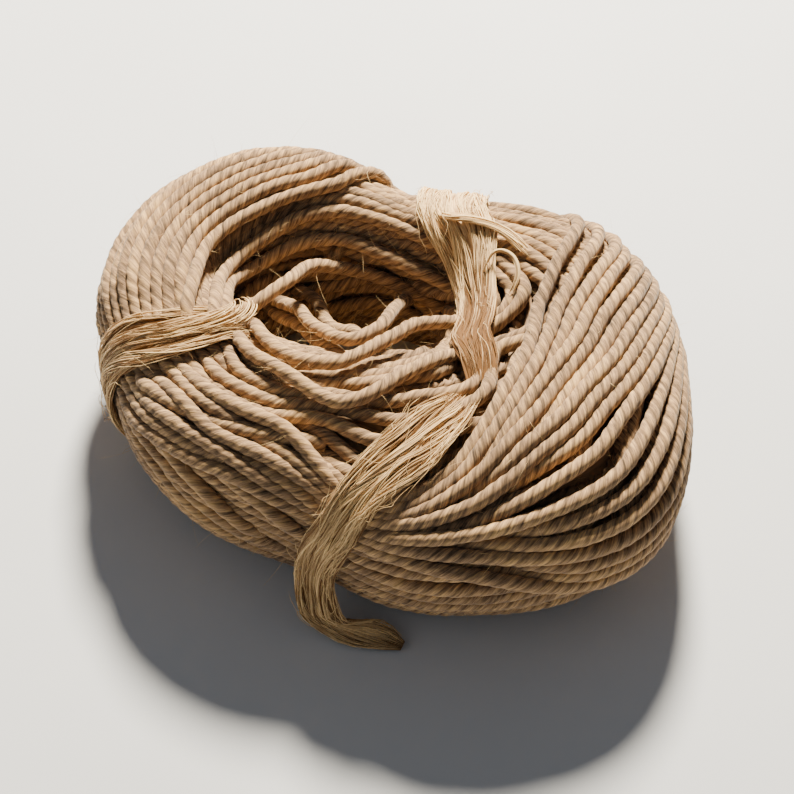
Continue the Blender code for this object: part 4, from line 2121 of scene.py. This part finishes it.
@dataclass(frozen=True)
class SoftLight:
    """A round soft light that faces the ball: place and size in metres, power in watts."""

    name: str
    place: tuple
    size: float
    power: float
    colour: tuple

    def make(self) -> None:
        """Puts the light into the scene."""
        data = bpy.data.lights.new(self.name, "AREA")
        data.shape = "DISK"
        data.size = self.size
        data.energy = self.power
        data.color = self.colour
        item = add_object(self.name, data)
        item.location = self.place
        item.rotation_euler = (-Vector(self.place)).to_track_quat("-Z", "Y").to_euler()


LIGHTS = (SoftLight("key", (-0.10, 0.86, 1.00), 0.26, 106.0, (1.0, 0.90, 0.72)),
          SoftLight("fill", (-0.9, -0.8, 0.8), 1.2, 1.2, (1.0, 0.98, 0.95)))
SKY_COLOUR = (0.88, 0.94, 1.0, 1.0)
SKY_STRENGTH = 0.17
FLOOR_REACH = 3.0             # metres from its middle to its edges


def make_camera() -> None:
    """Camera where the photograph was taken from."""
    azimuth, elevation = math.radians(PHOTO_AZIMUTH), math.radians(PHOTO_ELEVATION)
    back = Vector((math.sin(azimuth) * math.cos(elevation),
                   -math.cos(azimuth) * math.cos(elevation), math.sin(elevation)))
    data = bpy.data.cameras.new("photo_camera")
    data.lens = PHOTO_LENS
    data.sensor_width = PHOTO_SENSOR
    data.clip_start = NEAR_CLIP * MM
    camera = add_object("photo_camera", data)
    camera.location = (Vector(PHOTO_TARGET) + back * PHOTO_DISTANCE) * MM
    camera.rotation_euler = (-back).to_track_quat("-Z", "Y").to_euler()
    bpy.context.scene.camera = camera


def make_studio() -> None:
    """Plain pale floor and soft light."""
    mesh = bpy.data.meshes.new("floor")
    corners = [(x * FLOOR_REACH, y * FLOOR_REACH, 0.0)
               for x, y in ((-1, -1), (1, -1), (1, 1), (-1, 1))]
    mesh.from_pydata(corners, [], [(0, 1, 2, 3)])
    mesh.materials.append(FloorFinish().material())
    add_object("floor", mesh)
    for light in LIGHTS:
        light.make()
    world = bpy.data.worlds.new("studio")
    world.use_nodes = True
    sky = world.node_tree.nodes["Background"].inputs
    sky["Color"].default_value = SKY_COLOUR
    sky["Strength"].default_value = SKY_STRENGTH
    bpy.context.scene.world = world


def main() -> None:
    """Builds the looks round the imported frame."""
    logging.basicConfig(level=logging.INFO, format="%(message)s")
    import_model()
    form = WoundForm()
    ties = [TieSheet("tie_left", form, LEFT_TIE), TieSheet("tie_upper", form, UPPER_TIE),
            TieSheet("tie_lower", form, LOWER_TIE, LOWER_TAIL)]
    string = Thread("laid_string", True)
    fibre = Thread("plain_fibre", False)
    turns, lines = make_turns(form, ties, string)
    turns["hairs"] = make_hairs(lines, fibre)
    for item in turns.values():
        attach(item, BODY)
    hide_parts("rope_ball")
    made = make_ties(ties, fibre)
    for tie in ties:
        band, fibres = made[tie.name]
        for item in (band, fibres):
            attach(item, BODY)
        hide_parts(tie.name)
        tie.mean_width() * MM
    for item in bpy.data.objects:
        if item.type == "MESH":
            LOG.info("%s: %d triangles", item.name,
                     sum(len(face.vertices) - 2 for face in item.data.polygons))
    make_studio()
    make_camera()


if __name__ == "__main__":
    main()
